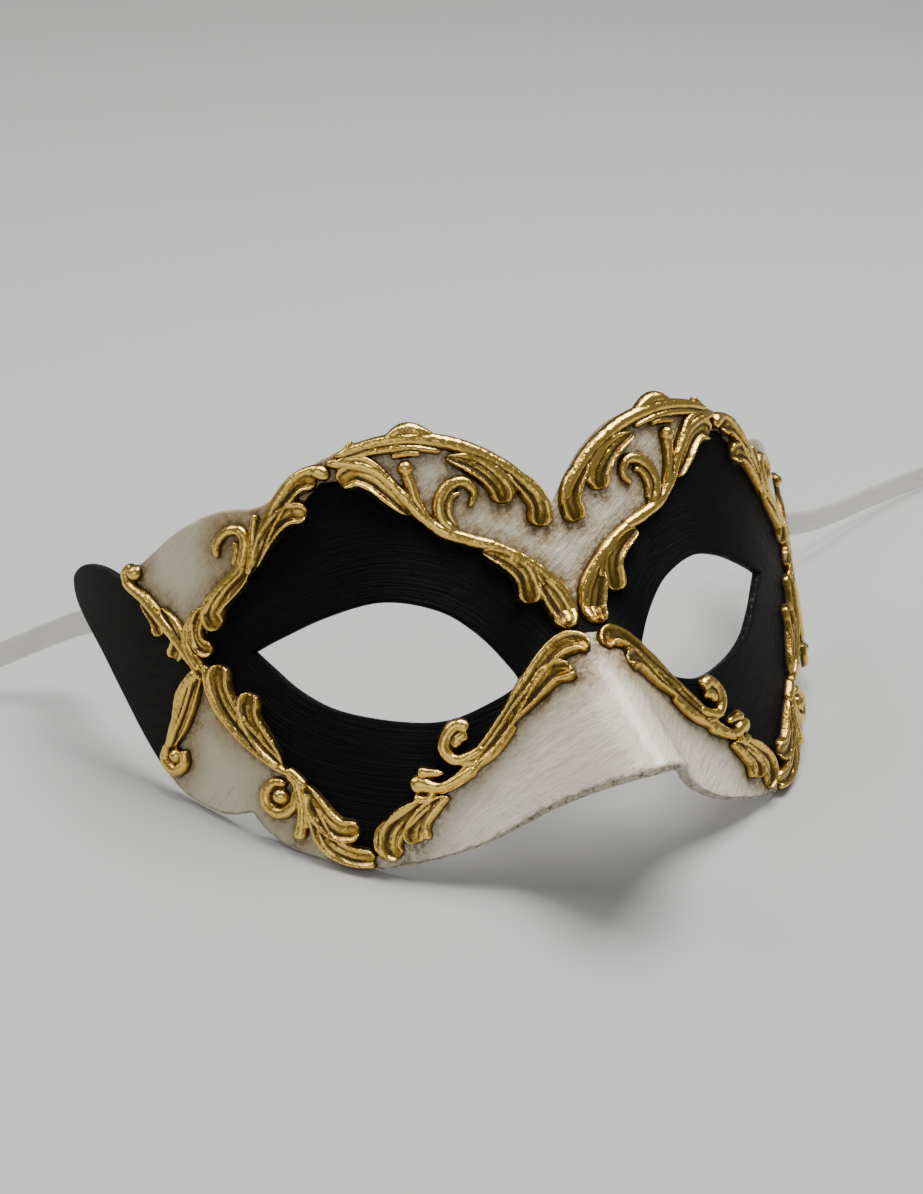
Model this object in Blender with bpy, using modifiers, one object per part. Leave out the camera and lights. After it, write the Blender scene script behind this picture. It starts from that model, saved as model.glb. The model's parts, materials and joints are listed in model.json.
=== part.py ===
"""Venetian half mask: a papier-mache shell with applied gilt relief and two satin ribbons.

Units are metres, +Z is up and the face of the mask looks along -Y.  The shell stands as it
does on a table: it leans back and rests on the lower edges of its cheeks and temples.

The mask is drawn as a flat pattern, the way its maker cuts it: s runs from the bridge of the
nose round the face to the temple, and v runs up.  wrap() lays a point of that pattern on the
curved face, at a height h above the outer skin.
"""

import math

import bmesh
import bpy
from mathutils import Vector

# ---- driving dimensions ------------------------------------------------------------------

HALF_SPAN = 0.1157          # bridge to temple tip, measured round the face
HEIGHT = 0.0812             # lowest point of the cheek to the top of the brow, on the pattern
FACE_RADIUS = 0.080         # curve of the face, seen from above
FACE_DEPTH = 1.06           # how much deeper than round that curve is
LEAN = math.radians(30.5)   # how far the mask leans back on the table
BROW_SETBACK = 0.003        # how far the forehead falls back in FOREHEAD_HEIGHT
FOREHEAD_HEIGHT = 0.020
FOREHEAD_WIDTH = 0.030      # how far from the middle that setback fades
NOSE_START = 0.001          # how far below the bridge the nose begins
NOSE_LENGTH = 0.029
NOSE_LONGEST = 1.3          # the ridge goes on to this share of its length
NOSE_SWEEP = 1.1            # 1 for a straight ridge, more for a hollow one
NOSE_HEIGHT = 0.0245        # how far the nose stands out at its lower edge
NOSE_WIDTH = 0.0110         # half width of the nose at its lower edge
BRIDGE_WIDTH = 0.0060       # half width of the nose at the bridge
WALL = 0.0020               # papier-mache
REST_FLAT = 0.0005          # how much the lower edge is rubbed flat where it stands
RIGHT_EYE = 0.0498          # length of the wearer's right eye opening, round the face
LEFT_EYE = 0.0427           # length of the wearer's left eye opening
RIGHT_INNER_CORNER = 0.0140     # bridge to the inner corner of each eye
LEFT_INNER_CORNER = 0.0115
RELIEF_HEIGHT = 0.0020      # how far the gilt relief stands out
GLUE_LINE = 0.0004          # film between the shell and what is stuck on it
TAB_LENGTH = 0.0100         # paper tab that holds a ribbon's end
TAB_WIDTH = 0.0100
TAB_THICKNESS = 0.0008
RIBBON_WIDTH = 0.0060
RIBBON_COIL_RADIUS = 0.0310     # middle of the coiled ribbon's turns
RIBBON_COIL_BUILD = 0.0120      # how thick the ring of turns is

# The pattern is drawn in millimetres for this span and height.
DRAWN_SPAN = 115.7
DRAWN_HEIGHT = 81.2
GRID = 4.0                  # spacing of the shell's facets, in pattern units
FINE_GRID = 2.0             # the same round the nose
FINE_LIMIT = 18.0           # how far from the bridge the fine facets reach
SLOPE_STEP = 0.0004         # the skin's slope is measured over twice this

# ---- the flat pattern, wearer's left half, in drawn millimetres ---------------------------

BROW_EDGE = [(0, 20.2), (2.3, 23.3), (6, 27.8), (10, 31.5), (15.3, 34.7), (22, 36.6), (29, 37.4),
             (36, 37), (43.3, 35.2), (47.6, 33.5), (51, 31.8), (54.4, 29.4), (58.8, 28),
             (65, 28.5), (71, 28), (79, 25.6), (88, 21.5), (95.9, 19.5)]
TIP_EDGE = [(95.9, 19.5), (102, 22.2), (108.8, 23.4), (114.4, 22), (115.7, 18.5), (113.6, 14),
            (107.1, 5.6), (101.5, -3), (96.5, -11.5), (92, -18.2), (86.8, -24.2), (81.9, -27.4),
            (76, -30), (69.7, -30.2)]
CHEEK_EDGE = [(69.7, -30.2), (67.4, -33.6), (64, -36.8), (60, -39), (54, -41.7), (45.5, -43.8),
              (34.5, -43.4), (23.3, -40.9), (15, -36.3), (7.9, -32.7), (2, -30.9), (0, -30.8)]
EYE_LENGTH_DRAWN = 49.8
EYE_TOP = [(49.8, 0.5), (43.9, 2.4), (33.3, 5.2), (22.6, 6.2), (12.4, 2.9), (5.8, -2.8),
           (1.1, -9.8), (0, -12.7)]
EYE_BOTTOM = [(0, -12.7), (4.7, -15), (14.1, -17.6), (23.3, -16.6), (34.3, -13), (41.5, -8.2),
              (46.9, -2.6), (49.8, 0.5)]

# Each relief piece is a few strokes: the points that it runs through, and its width at the
# start, the middle and the end.
RELIEF = {
    "crest_rim": [
        ([(43.2, 34), (36, 35.6), (28, 36), (20, 34.6), (12.6, 31.2), (7, 26.6)], (2.0, 2.6, 1.8)),
        ([(15.5, 31.6), (12, 28.4), (10.4, 25), (11.2, 21.8)], (1.6, 2.6, 2.8)),
        ([(8, 27.4), (5.4, 23), (3.3, 19), (4.3, 15.6)], (1.6, 2.8, 3.0)),
    ],
    "brow_spray": [
        ([(40.6, 33.2), (35.5, 31.4), (30.6, 27.4), (26.6, 22.6)], (1.8, 3.0, 1.8)),
        ([(37, 32), (41, 31), (41.8, 28.4)], (1.6, 2.6, 2.6)),
        ([(28.2, 30.6), (28.2, 27.6), (28.4, 24.8)], (2.6, 1.6, 1.6)),
    ],
    "forehead_scroll": [
        ([(17.7, 22), (16.9, 24.6), (19.4, 26.6), (22.8, 25.2), (23.6, 22.2), (22.9, 19.4),
          (21, 16.8)], (2.8, 2.0, 2.0)),
        ([(25.4, 20.4), (23.4, 17.4), (19, 15.2), (15.6, 14.2)], (1.6, 2.6, 1.8)),
    ],
    "vee_branch": [
        ([(13.6, 13.2), (10.8, 11.2), (8.4, 7), (9, 1.4)], (1.8, 3.2, 3.2)),
        ([(11, 12.2), (5.6, 8.4), (2.6, 4), (1.7, 1.6)], (1.8, 2.4, 1.8)),
        ([(4.4, 5.8), (4.2, 1.4), (4.9, -3.4)], (1.8, 3.0, 2.8)),
    ],
    "outer_brow_leaves": [
        ([(59.6, 18.6), (58, 22.6), (53.9, 25.5), (48.8, 25.2)], (1.8, 3.2, 3.0)),
        ([(58.2, 23.4), (54.3, 27.4), (50.4, 30.4), (46.6, 32.2), (45.2, 29.6)], (1.8, 3.0, 2.6)),
    ],
    "temple_scroll": [
        ([(67.4, 20), (66.4, 22.8), (63.8, 23.4), (62.2, 20.2), (63.6, 16.4), (67.2, 13)],
         (2.8, 2.0, 2.0)),
        ([(60.8, 15.4), (63, 14.8), (67, 12.6), (70.6, 9.6)], (1.6, 2.4, 1.8)),
        ([(67, 12.2), (66.6, 9.8), (67.4, 7.6)], (1.6, 2.4, 2.4)),
    ],
    "side_knot": [
        ([(73.2, 9.4), (75.2, 6), (73.6, 3), (76.6, 1.4)], (1.8, 3.2, 2.2)),
        ([(74.6, 4.2), (72.2, 2.8), (71, 1.4)], (1.8, 2.4, 2.2)),
    ],
    "temple_upper_spray": [
        ([(79.4, 1.6), (82.6, 3.6), (86, 6.2), (89.6, 10.6), (93.2, 14.2)], (2.4, 3.0, 2.0)),
        ([(91.6, 12.4), (94.6, 15.8), (93.4, 18.8), (89.8, 19.6)], (1.8, 1.8, 2.8)),
    ],
    "temple_lower_spray": [
        ([(78.6, -1.2), (80.2, -5.6), (84, -11), (86.6, -15.4)], (2.6, 3.0, 2.0)),
        ([(85.6, -13.6), (88, -16.6), (86.4, -20.4)], (1.8, 1.8, 2.8)),
    ],
    "cheek_spray": [
        ([(75.4, -2.4), (72.6, -7.6), (68.8, -14.4), (63.8, -20)], (2.4, 3.2, 2.0)),
        ([(73, -7.4), (73.4, -4), (71.4, -1.9)], (1.6, 2.2, 2.2)),
        ([(69, -14.2), (68.4, -10.4), (66.3, -7.9)], (1.6, 2.4, 2.4)),
    ],
    "cheek_curl": [
        ([(58.9, -23.8), (61.6, -23.6), (64.4, -25.2), (65.2, -28.2), (62.8, -30.2), (60.6, -29),
          (61.2, -27)], (1.8, 2.0, 2.4)),
        ([(61.6, -23.6), (58.6, -25.6), (58.2, -30), (59.6, -35.4)], (1.8, 2.4, 2.8)),
    ],
    "cheek_leaf": [
        ([(54.6, -26.8), (54.6, -33.8), (51.8, -38.6), (47, -41.2)], (1.8, 3.4, 2.2)),
        ([(54.4, -31), (50.8, -34.2), (48.2, -37.6)], (1.6, 2.4, 2.2)),
    ],
    "inner_cheek_leaves": [
        ([(36.4, -32.2), (40.6, -34.4), (43.6, -38.2), (41.4, -41.2)], (1.8, 3.0, 2.6)),
        ([(37.4, -32.6), (37.4, -35.4), (37.8, -38.8)], (1.8, 2.6, 2.4)),
    ],
    "lower_scroll": [
        ([(24.6, -20), (26.4, -18.6), (29.6, -20.8), (29.6, -23.8), (27.4, -25.4)],
         (2.8, 2.0, 1.8)),
        ([(35.6, -26.2), (31.4, -27), (27.6, -25.6), (24.6, -24.2)], (2.8, 1.8, 1.6)),
        ([(37.6, -29.2), (33.6, -29.8), (31.2, -27.6)], (2.8, 2.0, 1.6)),
    ],
    "nose_stem": [
        ([(31.6, -32.2), (25.2, -28.2), (18.4, -20.8), (12, -13.4), (6.6, -8.8), (2.9, -9.6)],
         (1.8, 2.6, 2.6)),
        ([(15.8, -18.2), (10.4, -13.8), (5.6, -12.6)], (1.6, 2.4, 2.2)),
    ],
}
RINGS_PER_MM = 0.42         # facets along a relief stroke
SECTION_SIDES = 6           # facets round it
ROUNDING = 5                # how bluntly a stroke ends; 2 is a half circle

TAB_CENTRE = (100.5, 8.5)   # middle of the paper tab inside a temple tip

# ---- the ribbons, in the finished frame ---------------------------------------------------

RIBBON_THICKNESS = 0.0008
RIBBON_ROUTES = {
    "left": [(0.0743, 0.0456, 0.0206), (0.0750, 0.0512, 0.0192), (0.0772, 0.0562, 0.0172),
             (0.0825, 0.0594, 0.0148), (0.0900, 0.0610, 0.0124), (0.0985, 0.0636, 0.0100),
             (0.1080, 0.0680, 0.0082), (0.1180, 0.0735, 0.0066), (0.1290, 0.0795, 0.0052),
             (0.1400, 0.0848, 0.0041), (0.1500, 0.0887, 0.0035), (0.1606, 0.0914, 0.0034)],
    "right": [(-0.0743, 0.0456, 0.0206), (-0.0750, 0.0512, 0.0192), (-0.0771, 0.0560, 0.0168),
              (-0.0816, 0.0592, 0.0140), (-0.0880, 0.0608, 0.0112), (-0.0950, 0.0620, 0.0084),
              (-0.1030, 0.0640, 0.0060), (-0.1110, 0.0668, 0.0042), (-0.1180, 0.0696, 0.0034),
              (-0.1244, 0.0720, 0.0034)],
}
RIBBON_COILS = {"left": (0.1800, 0.0590), "right": (-0.1455, 0.0408)}   # middles of the coils
COIL_STEPS = 40             # facets round a coil
FLOOR_GAP = 0.0004          # a coil's lower edge above the table


def on_pattern(s, v):
    """Turn drawn millimetres into metres on the pattern."""
    return s * HALF_SPAN / DRAWN_SPAN, v * HEIGHT / DRAWN_HEIGHT


def skin(s, v):
    """Give a point of the shell's outer skin, before the mask is set down."""
    turn = s / FACE_RADIUS
    back = FACE_DEPTH * FACE_RADIUS * (1 - math.cos(turn))
    back += BROW_SETBACK * v / FOREHEAD_HEIGHT * math.exp(-(s / FOREHEAD_WIDTH) ** 2)
    down = min(max((-v - NOSE_START) / NOSE_LENGTH, 0), NOSE_LONGEST)
    half_width = BRIDGE_WIDTH + (NOSE_WIDTH - BRIDGE_WIDTH) * down
    back -= NOSE_HEIGHT * down ** NOSE_SWEEP * math.exp(-(s / half_width) ** 2)
    y = back * math.cos(LEAN) + v * math.sin(LEAN)
    z = v * math.cos(LEAN) - back * math.sin(LEAN)
    return Vector((FACE_RADIUS * math.sin(turn), y, z))


def wrap(s, v, h):
    """Lay a point of the flat pattern on the face, h above the outer skin."""
    across = skin(s + SLOPE_STEP, v) - skin(s - SLOPE_STEP, v)
    upward = skin(s, v + SLOPE_STEP) - skin(s, v - SLOPE_STEP)
    return skin(s, v) + across.cross(upward).normalized() * h


def smooth(points, steps=6):
    """Run a Catmull-Rom curve through a few points and return it as many."""
    knots = [Vector(point) for point in points]
    knots = [2 * knots[0] - knots[1]] + knots + [2 * knots[-1] - knots[-2]]
    curve = []
    for before, start, end, after in zip(knots, knots[1:], knots[2:], knots[3:]):
        for step in range(steps):
            t = step / steps
            curve.append(0.5 * (2 * start + (end - before) * t
                                + (2 * before - 5 * start + 4 * end - after) * t * t
                                + (3 * start - before - 3 * end + after) * t ** 3))
    curve.append(knots[-2])
    return curve


def even_steps(curve, count):
    """Return count + 1 points at equal distances along a curve."""
    lengths = [0.0]
    for start, end in zip(curve, curve[1:]):
        lengths.append(lengths[-1] + (end - start).length)
    points = []
    piece = 0
    for step in range(count + 1):
        wanted = lengths[-1] * step / count
        while piece < len(curve) - 2 and lengths[piece + 1] < wanted:
            piece += 1
        share = (wanted - lengths[piece]) / (lengths[piece + 1] - lengths[piece])
        points.append(curve[piece].lerp(curve[piece + 1], share))
    return points


def closed_outline(runs, steps=3):
    """Join runs that meet at corners into one closed outline."""
    outline = []
    for run in runs:
        outline += smooth([on_pattern(*point) for point in run], steps)[:-1]
    return outline


def new_object(name, mesh, collection, material=None):
    """Put a mesh in the scene as a named object."""
    thing = bpy.data.objects.new(name, mesh)
    collection.objects.link(thing)
    if material:
        mesh.materials.append(material)
    return thing


def flat_plate(name, outlines, thickness):
    """Cut a flat plate with holes, its top at height 0, as a welded mesh."""
    curve = bpy.data.curves.new(name, "CURVE")
    curve.dimensions = "2D"
    curve.fill_mode = "BOTH"
    curve.extrude = thickness / 2
    for outline in outlines:
        spline = curve.splines.new("POLY")
        spline.points.add(len(outline) - 1)
        for point, place in zip(spline.points, outline):
            point.co = (place[0], place[1], 0, 1)
        spline.use_cyclic_u = True
    flat = bpy.data.objects.new(name, curve)
    bpy.context.scene.collection.objects.link(flat)
    plate = bmesh.new()
    plate.from_mesh(evaluated_mesh(flat))
    bpy.data.objects.remove(flat)
    bmesh.ops.remove_doubles(plate, verts=plate.verts, dist=1e-6)
    bmesh.ops.translate(plate, verts=plate.verts, vec=(0, 0, -thickness / 2))
    return plate


def evaluated_mesh(thing):
    """Return an object's mesh with its modifiers applied."""
    depsgraph = bpy.context.evaluated_depsgraph_get()
    return bpy.data.meshes.new_from_object(thing.evaluated_get(depsgraph))


def cut_lines(limit):
    """List the places of evenly spaced grid lines, in pattern units."""
    return [GRID * number for number in range(-math.ceil(limit / GRID), math.ceil(limit / GRID))]


def cut_facets(plate, s_lines, v_lines):
    """Cut a flat plate along a grid, so that it can bend."""
    for lines, axis in ((s_lines, 0), (v_lines, 1)):
        for line in lines:
            place = Vector((0, 0, 0))
            place[axis] = line
            normal = Vector((0, 0, 0))
            normal[axis] = 1
            geometry = plate.verts[:] + plate.edges[:] + plate.faces[:]
            bmesh.ops.bisect_plane(plate, geom=geometry, dist=1e-7, plane_co=place, plane_no=normal)
    plate.normal_update()
    spare = []
    for edge in plate.edges:
        level = all(abs(face.normal.z) > 0.99 for face in edge.link_faces)
        along_grid = False
        for lines, axis in ((s_lines, 0), (v_lines, 1)):
            first, second = (vert.co[axis] for vert in edge.verts)
            if abs(first - second) < 1e-6 and any(abs(first - line) < 1e-6 for line in lines):
                along_grid = True
        if level and not along_grid:
            spare.append(edge)
    bmesh.ops.dissolve_edges(plate, edges=spare, use_verts=True)


def bend(flat, side=1):
    """Wrap a flat piece round the face, on the wearer's left or (side -1) right."""
    for vert in flat.verts:
        vert.co = wrap(side * vert.co.x, vert.co.y, vert.co.z)
    if side < 0:
        bmesh.ops.reverse_faces(flat, faces=flat.faces)
    bmesh.ops.triangulate(flat, faces=flat.faces)


def finish(flat, name, collection, material, seat):
    """Set a bent piece down in the finished frame and name it."""
    bmesh.ops.translate(flat, verts=flat.verts, vec=seat)
    mesh = bpy.data.meshes.new(name)
    flat.to_mesh(mesh)
    flat.free()
    thing = new_object(name, mesh, collection, material)
    mesh.shade_smooth()
    mesh.set_sharp_from_angle(angle=math.radians(40))
    return thing


def eye_outline(inner_corner, length, side):
    """Draw one eye opening, as long as it is asked for."""
    stretch = length / (EYE_LENGTH_DRAWN * HALF_SPAN / DRAWN_SPAN)
    outline = closed_outline([EYE_TOP, EYE_BOTTOM])
    return [Vector((side * (inner_corner + point.x * stretch), point.y)) for point in outline]


def build_shell():
    """Make the papier-mache shell and find how far it has to move to stand on the table."""
    half = closed_outline([BROW_EDGE, TIP_EDGE, CHEEK_EDGE])
    bottom = Vector(on_pattern(*CHEEK_EDGE[-1]))
    mirrored = [Vector((-point.x, point.y)) for point in reversed(half[1:])]
    outline = half + [bottom] + mirrored
    eyes = [eye_outline(LEFT_INNER_CORNER, LEFT_EYE, 1),
            eye_outline(RIGHT_INNER_CORNER, RIGHT_EYE, -1)]
    shell = flat_plate("mask_shell", [outline] + eyes, WALL)
    fine_lines = [place + FINE_GRID for place in cut_lines(FINE_LIMIT)]
    s_lines = [on_pattern(place, 0)[0] for place in cut_lines(DRAWN_SPAN) + fine_lines]
    v_lines = [on_pattern(0, place)[1] for place in cut_lines(DRAWN_HEIGHT)]
    cut_facets(shell, s_lines, v_lines)
    bend(shell)
    floor = min(vert.co.z for vert in shell.verts) + REST_FLAT
    geometry = shell.verts[:] + shell.edges[:] + shell.faces[:]
    bmesh.ops.bisect_plane(shell, geom=geometry, dist=1e-6, plane_co=(0, 0, floor),
                           plane_no=(0, 0, -1), clear_outer=True)
    open_edges = [edge for edge in shell.edges if edge.is_boundary]
    bmesh.ops.holes_fill(shell, edges=open_edges)
    bmesh.ops.triangulate(shell, faces=shell.faces)
    front = min(vert.co.y for vert in shell.verts)
    back = max(vert.co.y for vert in shell.verts)
    return shell, Vector((0, -(front + back) / 2, -floor))


def stroke(points, widths):
    """Make one half-round stroke of relief on the flat pattern, with rounded ends."""
    path = smooth([on_pattern(*point) for point in points])
    scale = min(HALF_SPAN / DRAWN_SPAN, HEIGHT / DRAWN_HEIGHT)
    length = sum((end - start).length for start, end in zip(path, path[1:]))
    rings = max(5, round(length / scale * RINGS_PER_MM))
    stations = even_steps(path, rings)
    body = bmesh.new()
    bmesh.ops.create_uvsphere(body, u_segments=SECTION_SIDES, v_segments=rings, radius=1)
    for vert in body.verts:
        ring = round(math.acos(min(max(vert.co.z, -1), 1)) / math.pi * rings)
        along = ring / rings
        turn = math.atan2(vert.co.y, vert.co.x)
        ahead = stations[min(ring + 1, rings)] - stations[max(ring - 1, 0)]
        sideways = Vector((-ahead.y, ahead.x)).normalized()
        start, middle, end = (width * scale / 2 for width in widths)
        near = 1 - abs(2 * along - 1)
        wide = (start if along < 0.5 else end) * (1 - near) + middle * near
        bulge = math.sqrt(1 - abs(2 * along - 1) ** ROUNDING)
        on_axis = ring in (0, rings)
        offset = 0 if on_axis else wide * bulge * math.cos(turn)
        rise = 0 if on_axis else RELIEF_HEIGHT * bulge * max(0, math.sin(turn))
        place = stations[ring] + sideways * offset
        vert.co = (place.x, place.y, GLUE_LINE + rise)
    bmesh.ops.recalc_face_normals(body, faces=body.faces)
    return body


def relief_piece(strokes):
    """Fuse a piece's strokes into one flat casting."""
    workshop = bpy.context.scene.collection
    solids = []
    for points, widths in strokes:
        body = stroke(points, widths)
        mesh = bpy.data.meshes.new("stroke")
        body.to_mesh(mesh)
        body.free()
        solids.append(new_object("stroke", mesh, workshop))
    for other in solids[1:]:
        union = solids[0].modifiers.new("fuse", "BOOLEAN")
        union.operation = "UNION"
        union.object = other
    casting = bmesh.new()
    casting.from_mesh(evaluated_mesh(solids[0]))
    for solid in solids:
        bpy.data.objects.remove(solid)
    bmesh.ops.remove_doubles(casting, verts=casting.verts, dist=1e-6)
    return casting


def build_tab():
    """Make the small paper tab that is glued over a ribbon's end, flat, inside a tip."""
    s, v = on_pattern(*TAB_CENTRE)
    corners = [(s + TAB_LENGTH / 2 * x, v + TAB_WIDTH / 2 * y)
               for x, y in ((-1, -0.7), (-0.7, -1), (0.7, -1), (1, -0.7),
                            (1, 0.7), (0.7, 1), (-0.7, 1), (-1, 0.7))]
    tab = flat_plate("tab", [corners], TAB_THICKNESS)
    cut_facets(tab, [s - TAB_LENGTH / 4, s, s + TAB_LENGTH / 4], [])
    bmesh.ops.translate(tab, verts=tab.verts, vec=(0, 0, -WALL - GLUE_LINE))
    return tab


def build_ribbon(name, route, collection, material):
    """Make the free stretch of a ribbon: a thin strip that stands on its edge."""
    curve = bpy.data.curves.new(name, "CURVE")
    curve.dimensions = "3D"
    curve.twist_mode = "Z_UP"
    curve.extrude = RIBBON_WIDTH / 2 - RIBBON_THICKNESS / 2
    curve.bevel_depth = RIBBON_THICKNESS / 2
    curve.bevel_resolution = 0
    curve.use_fill_caps = True
    line = smooth(route, 3)
    spline = curve.splines.new("POLY")
    spline.points.add(len(line) - 1)
    for point, place in zip(spline.points, line):
        point.co = (*place, 1)
    ribbon = bpy.data.objects.new(name, curve)
    collection.objects.link(ribbon)
    curve.materials.append(material)


def build_coil(name, centre, collection, material):
    """Make the outer shape of the coiled rest of a ribbon, a turned ring."""
    inner = RIBBON_COIL_RADIUS - RIBBON_COIL_BUILD / 2
    outer = RIBBON_COIL_RADIUS + RIBBON_COIL_BUILD / 2
    profile = bmesh.new()
    corners = [profile.verts.new((radius, 0, height))
               for radius, height in ((outer, RIBBON_WIDTH), (outer, 0), (inner, 0),
                                      (inner, RIBBON_WIDTH))]
    for first, second in zip(corners, corners[1:] + corners[:1]):
        profile.edges.new((first, second))
    mesh = bpy.data.meshes.new(name)
    profile.to_mesh(mesh)
    profile.free()
    coil = new_object(name, mesh, collection, material)
    coil.location = (*centre, FLOOR_GAP)
    turning = coil.modifiers.new("turning", "SCREW")
    turning.axis = "Z"
    turning.steps = COIL_STEPS
    turning.render_steps = COIL_STEPS
    turning.use_merge_vertices = True
    turning.merge_threshold = 0.0001


def paint(name, colour, roughness, metallic=0.0):
    """Make a plain material."""
    material = bpy.data.materials.new(name)
    material.use_nodes = True
    surface = material.node_tree.nodes["Principled BSDF"]
    surface.inputs["Base Color"].default_value = (*colour, 1)
    surface.inputs["Roughness"].default_value = roughness
    surface.inputs["Metallic"].default_value = metallic
    return material


def main():
    """Build every piece of the mask."""
    for thing in list(bpy.data.objects):
        bpy.data.objects.remove(thing)
    mask = bpy.data.collections.new("venetian_mask")
    bpy.context.scene.collection.children.link(mask)
    lacquer = paint("black and ivory lacquer", (0.42, 0.40, 0.35), 0.45)
    gilding = paint("gilding", (0.62, 0.40, 0.13), 0.38, 0.85)
    paper = paint("lining paper", (0.55, 0.50, 0.42), 0.9)
    satin = paint("cream satin", (0.72, 0.68, 0.60), 0.5)
    shell, seat = build_shell()
    finish(shell, "mask_shell", mask, lacquer, seat)
    for side_name, side in (("left", 1), ("right", -1)):
        for piece_name, strokes in RELIEF.items():
            casting = relief_piece(strokes)
            bend(casting, side)
            finish(casting, f"{piece_name}_{side_name}", mask, gilding, seat)
        tab = build_tab()
        bend(tab, side)
        finish(tab, f"ribbon_tab_{side_name}", mask, paper, seat)
        build_ribbon(f"ribbon_{side_name}", RIBBON_ROUTES[side_name], mask, satin)
        build_coil(f"ribbon_coil_{side_name}", RIBBON_COILS[side_name], mask, satin)


main()
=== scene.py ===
"""A Venetian half mask of painted papier-mache with gilt scrollwork, on a studio table.

The mask is drawn as a flat pattern, the way its maker cuts it, and wrapped round a face: s runs
from the bridge of the nose to the temple, v runs up, and h stands out from the skin.  Pattern
lists are in millimetres; everything that is built is in metres, with +Z up, the wearer's left
along +X and the face looking along -Y.
"""

import json
import logging
import math
from dataclasses import dataclass, field
from enum import Enum
from typing import Iterable, Optional, Sequence

import bmesh
import bpy
import numpy as np
from mathutils import Matrix, Vector, kdtree, noise

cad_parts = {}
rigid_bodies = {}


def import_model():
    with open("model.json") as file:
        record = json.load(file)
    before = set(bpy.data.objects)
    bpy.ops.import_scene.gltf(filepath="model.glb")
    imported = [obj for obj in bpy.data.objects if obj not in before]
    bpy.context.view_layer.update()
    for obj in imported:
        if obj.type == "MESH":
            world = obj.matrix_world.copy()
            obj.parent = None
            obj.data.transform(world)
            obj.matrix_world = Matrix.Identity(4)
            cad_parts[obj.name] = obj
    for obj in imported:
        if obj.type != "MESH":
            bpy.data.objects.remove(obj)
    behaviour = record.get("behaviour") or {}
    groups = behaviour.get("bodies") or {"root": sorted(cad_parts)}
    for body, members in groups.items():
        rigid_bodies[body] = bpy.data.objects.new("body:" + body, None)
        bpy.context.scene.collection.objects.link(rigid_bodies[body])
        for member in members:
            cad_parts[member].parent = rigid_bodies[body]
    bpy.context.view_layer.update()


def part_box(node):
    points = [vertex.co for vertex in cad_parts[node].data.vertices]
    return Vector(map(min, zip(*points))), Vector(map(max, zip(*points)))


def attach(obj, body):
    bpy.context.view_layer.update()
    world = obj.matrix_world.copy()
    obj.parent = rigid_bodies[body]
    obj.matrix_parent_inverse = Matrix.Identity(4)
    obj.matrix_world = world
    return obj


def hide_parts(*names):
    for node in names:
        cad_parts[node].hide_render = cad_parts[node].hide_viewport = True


LOG = logging.getLogger("mask")
MM = 0.001
WALL = 0.0020
Point2 = tuple[float, float]
Point3 = tuple[float, float, float]
Colour = tuple[float, float, float]


class Side(Enum):
    """The two sides of the mask, as its wearer has them."""

    LEFT = 1
    RIGHT = -1

    @property
    def word(self) -> str:
        """The side's name, as the nodes spell it."""
        return self.name.lower()


class Cut(Enum):
    """How a stroke of relief is modelled across its width."""

    LEAF = "leaf"
    SCROLL = "scroll"
    BEAD = "bead"


# ---- the curved face ----------------------------------------------------------------------


@dataclass(frozen=True)
class Face:
    """The curved face that the flat pattern is wrapped round."""

    radius: float = 0.080
    depth: float = 1.06
    lean: float = math.radians(30.5)
    brow_setback: float = 0.003
    forehead_height: float = 0.020
    forehead_width: float = 0.030
    nose_start: float = 0.001
    nose_length: float = 0.029
    nose_longest: float = 1.3
    nose_sweep: float = 1.1
    nose_height: float = 0.0245
    nose_width: float = 0.0110
    bridge_width: float = 0.0060
    nose_roundness: float = 2.5
    slope_step: float = 0.0004

    def skin(self, s: float, v: float) -> Vector:
        """Give a point of the outer skin.

        Args:
            s: distance round the face from the bridge of the nose.
            v: height on the pattern.

        Returns:
            The point, before the mask is set down on the table.
        """
        turn = s / self.radius
        back = self.depth * self.radius * (1 - math.cos(turn))
        back += (self.brow_setback * v / self.forehead_height
                 * math.exp(-(s / self.forehead_width) ** 2))
        down = min(max((-v - self.nose_start) / self.nose_length, 0), self.nose_longest)
        half_width = self.bridge_width + (self.nose_width - self.bridge_width) * down
        ridge = math.exp(-abs(s / half_width) ** self.nose_roundness)
        back -= self.nose_height * down ** self.nose_sweep * ridge
        return Vector((self.radius * math.sin(turn),
                       back * math.cos(self.lean) + v * math.sin(self.lean),
                       v * math.cos(self.lean) - back * math.sin(self.lean)))

    def wrap(self, s: float, v: float, h: float) -> Vector:
        """Lay a point of the flat pattern on the face.

        Args:
            s: distance round the face from the bridge of the nose.
            v: height on the pattern.
            h: height above the outer skin.

        Returns:
            The point, before the mask is set down on the table.
        """
        step = self.slope_step
        across = self.skin(s + step, v) - self.skin(s - step, v)
        upward = self.skin(s, v + step) - self.skin(s, v - step)
        return self.skin(s, v) + across.cross(upward).normalized() * h

    def bend(self, flat: bmesh.types.BMesh, side: Side = Side.LEFT) -> None:
        """Wrap a flat piece round the face.

        Args:
            flat: the piece, with s, v and h as its coordinates.
            side: the side that it goes on.
        """
        for vert in flat.verts:
            vert.co = self.wrap(side.value * vert.co.x, vert.co.y, vert.co.z)
        if side is Side.RIGHT:
            bmesh.ops.reverse_faces(flat, faces=flat.faces)


FACE = Face()


# ---- curves -------------------------------------------------------------------------------


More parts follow.
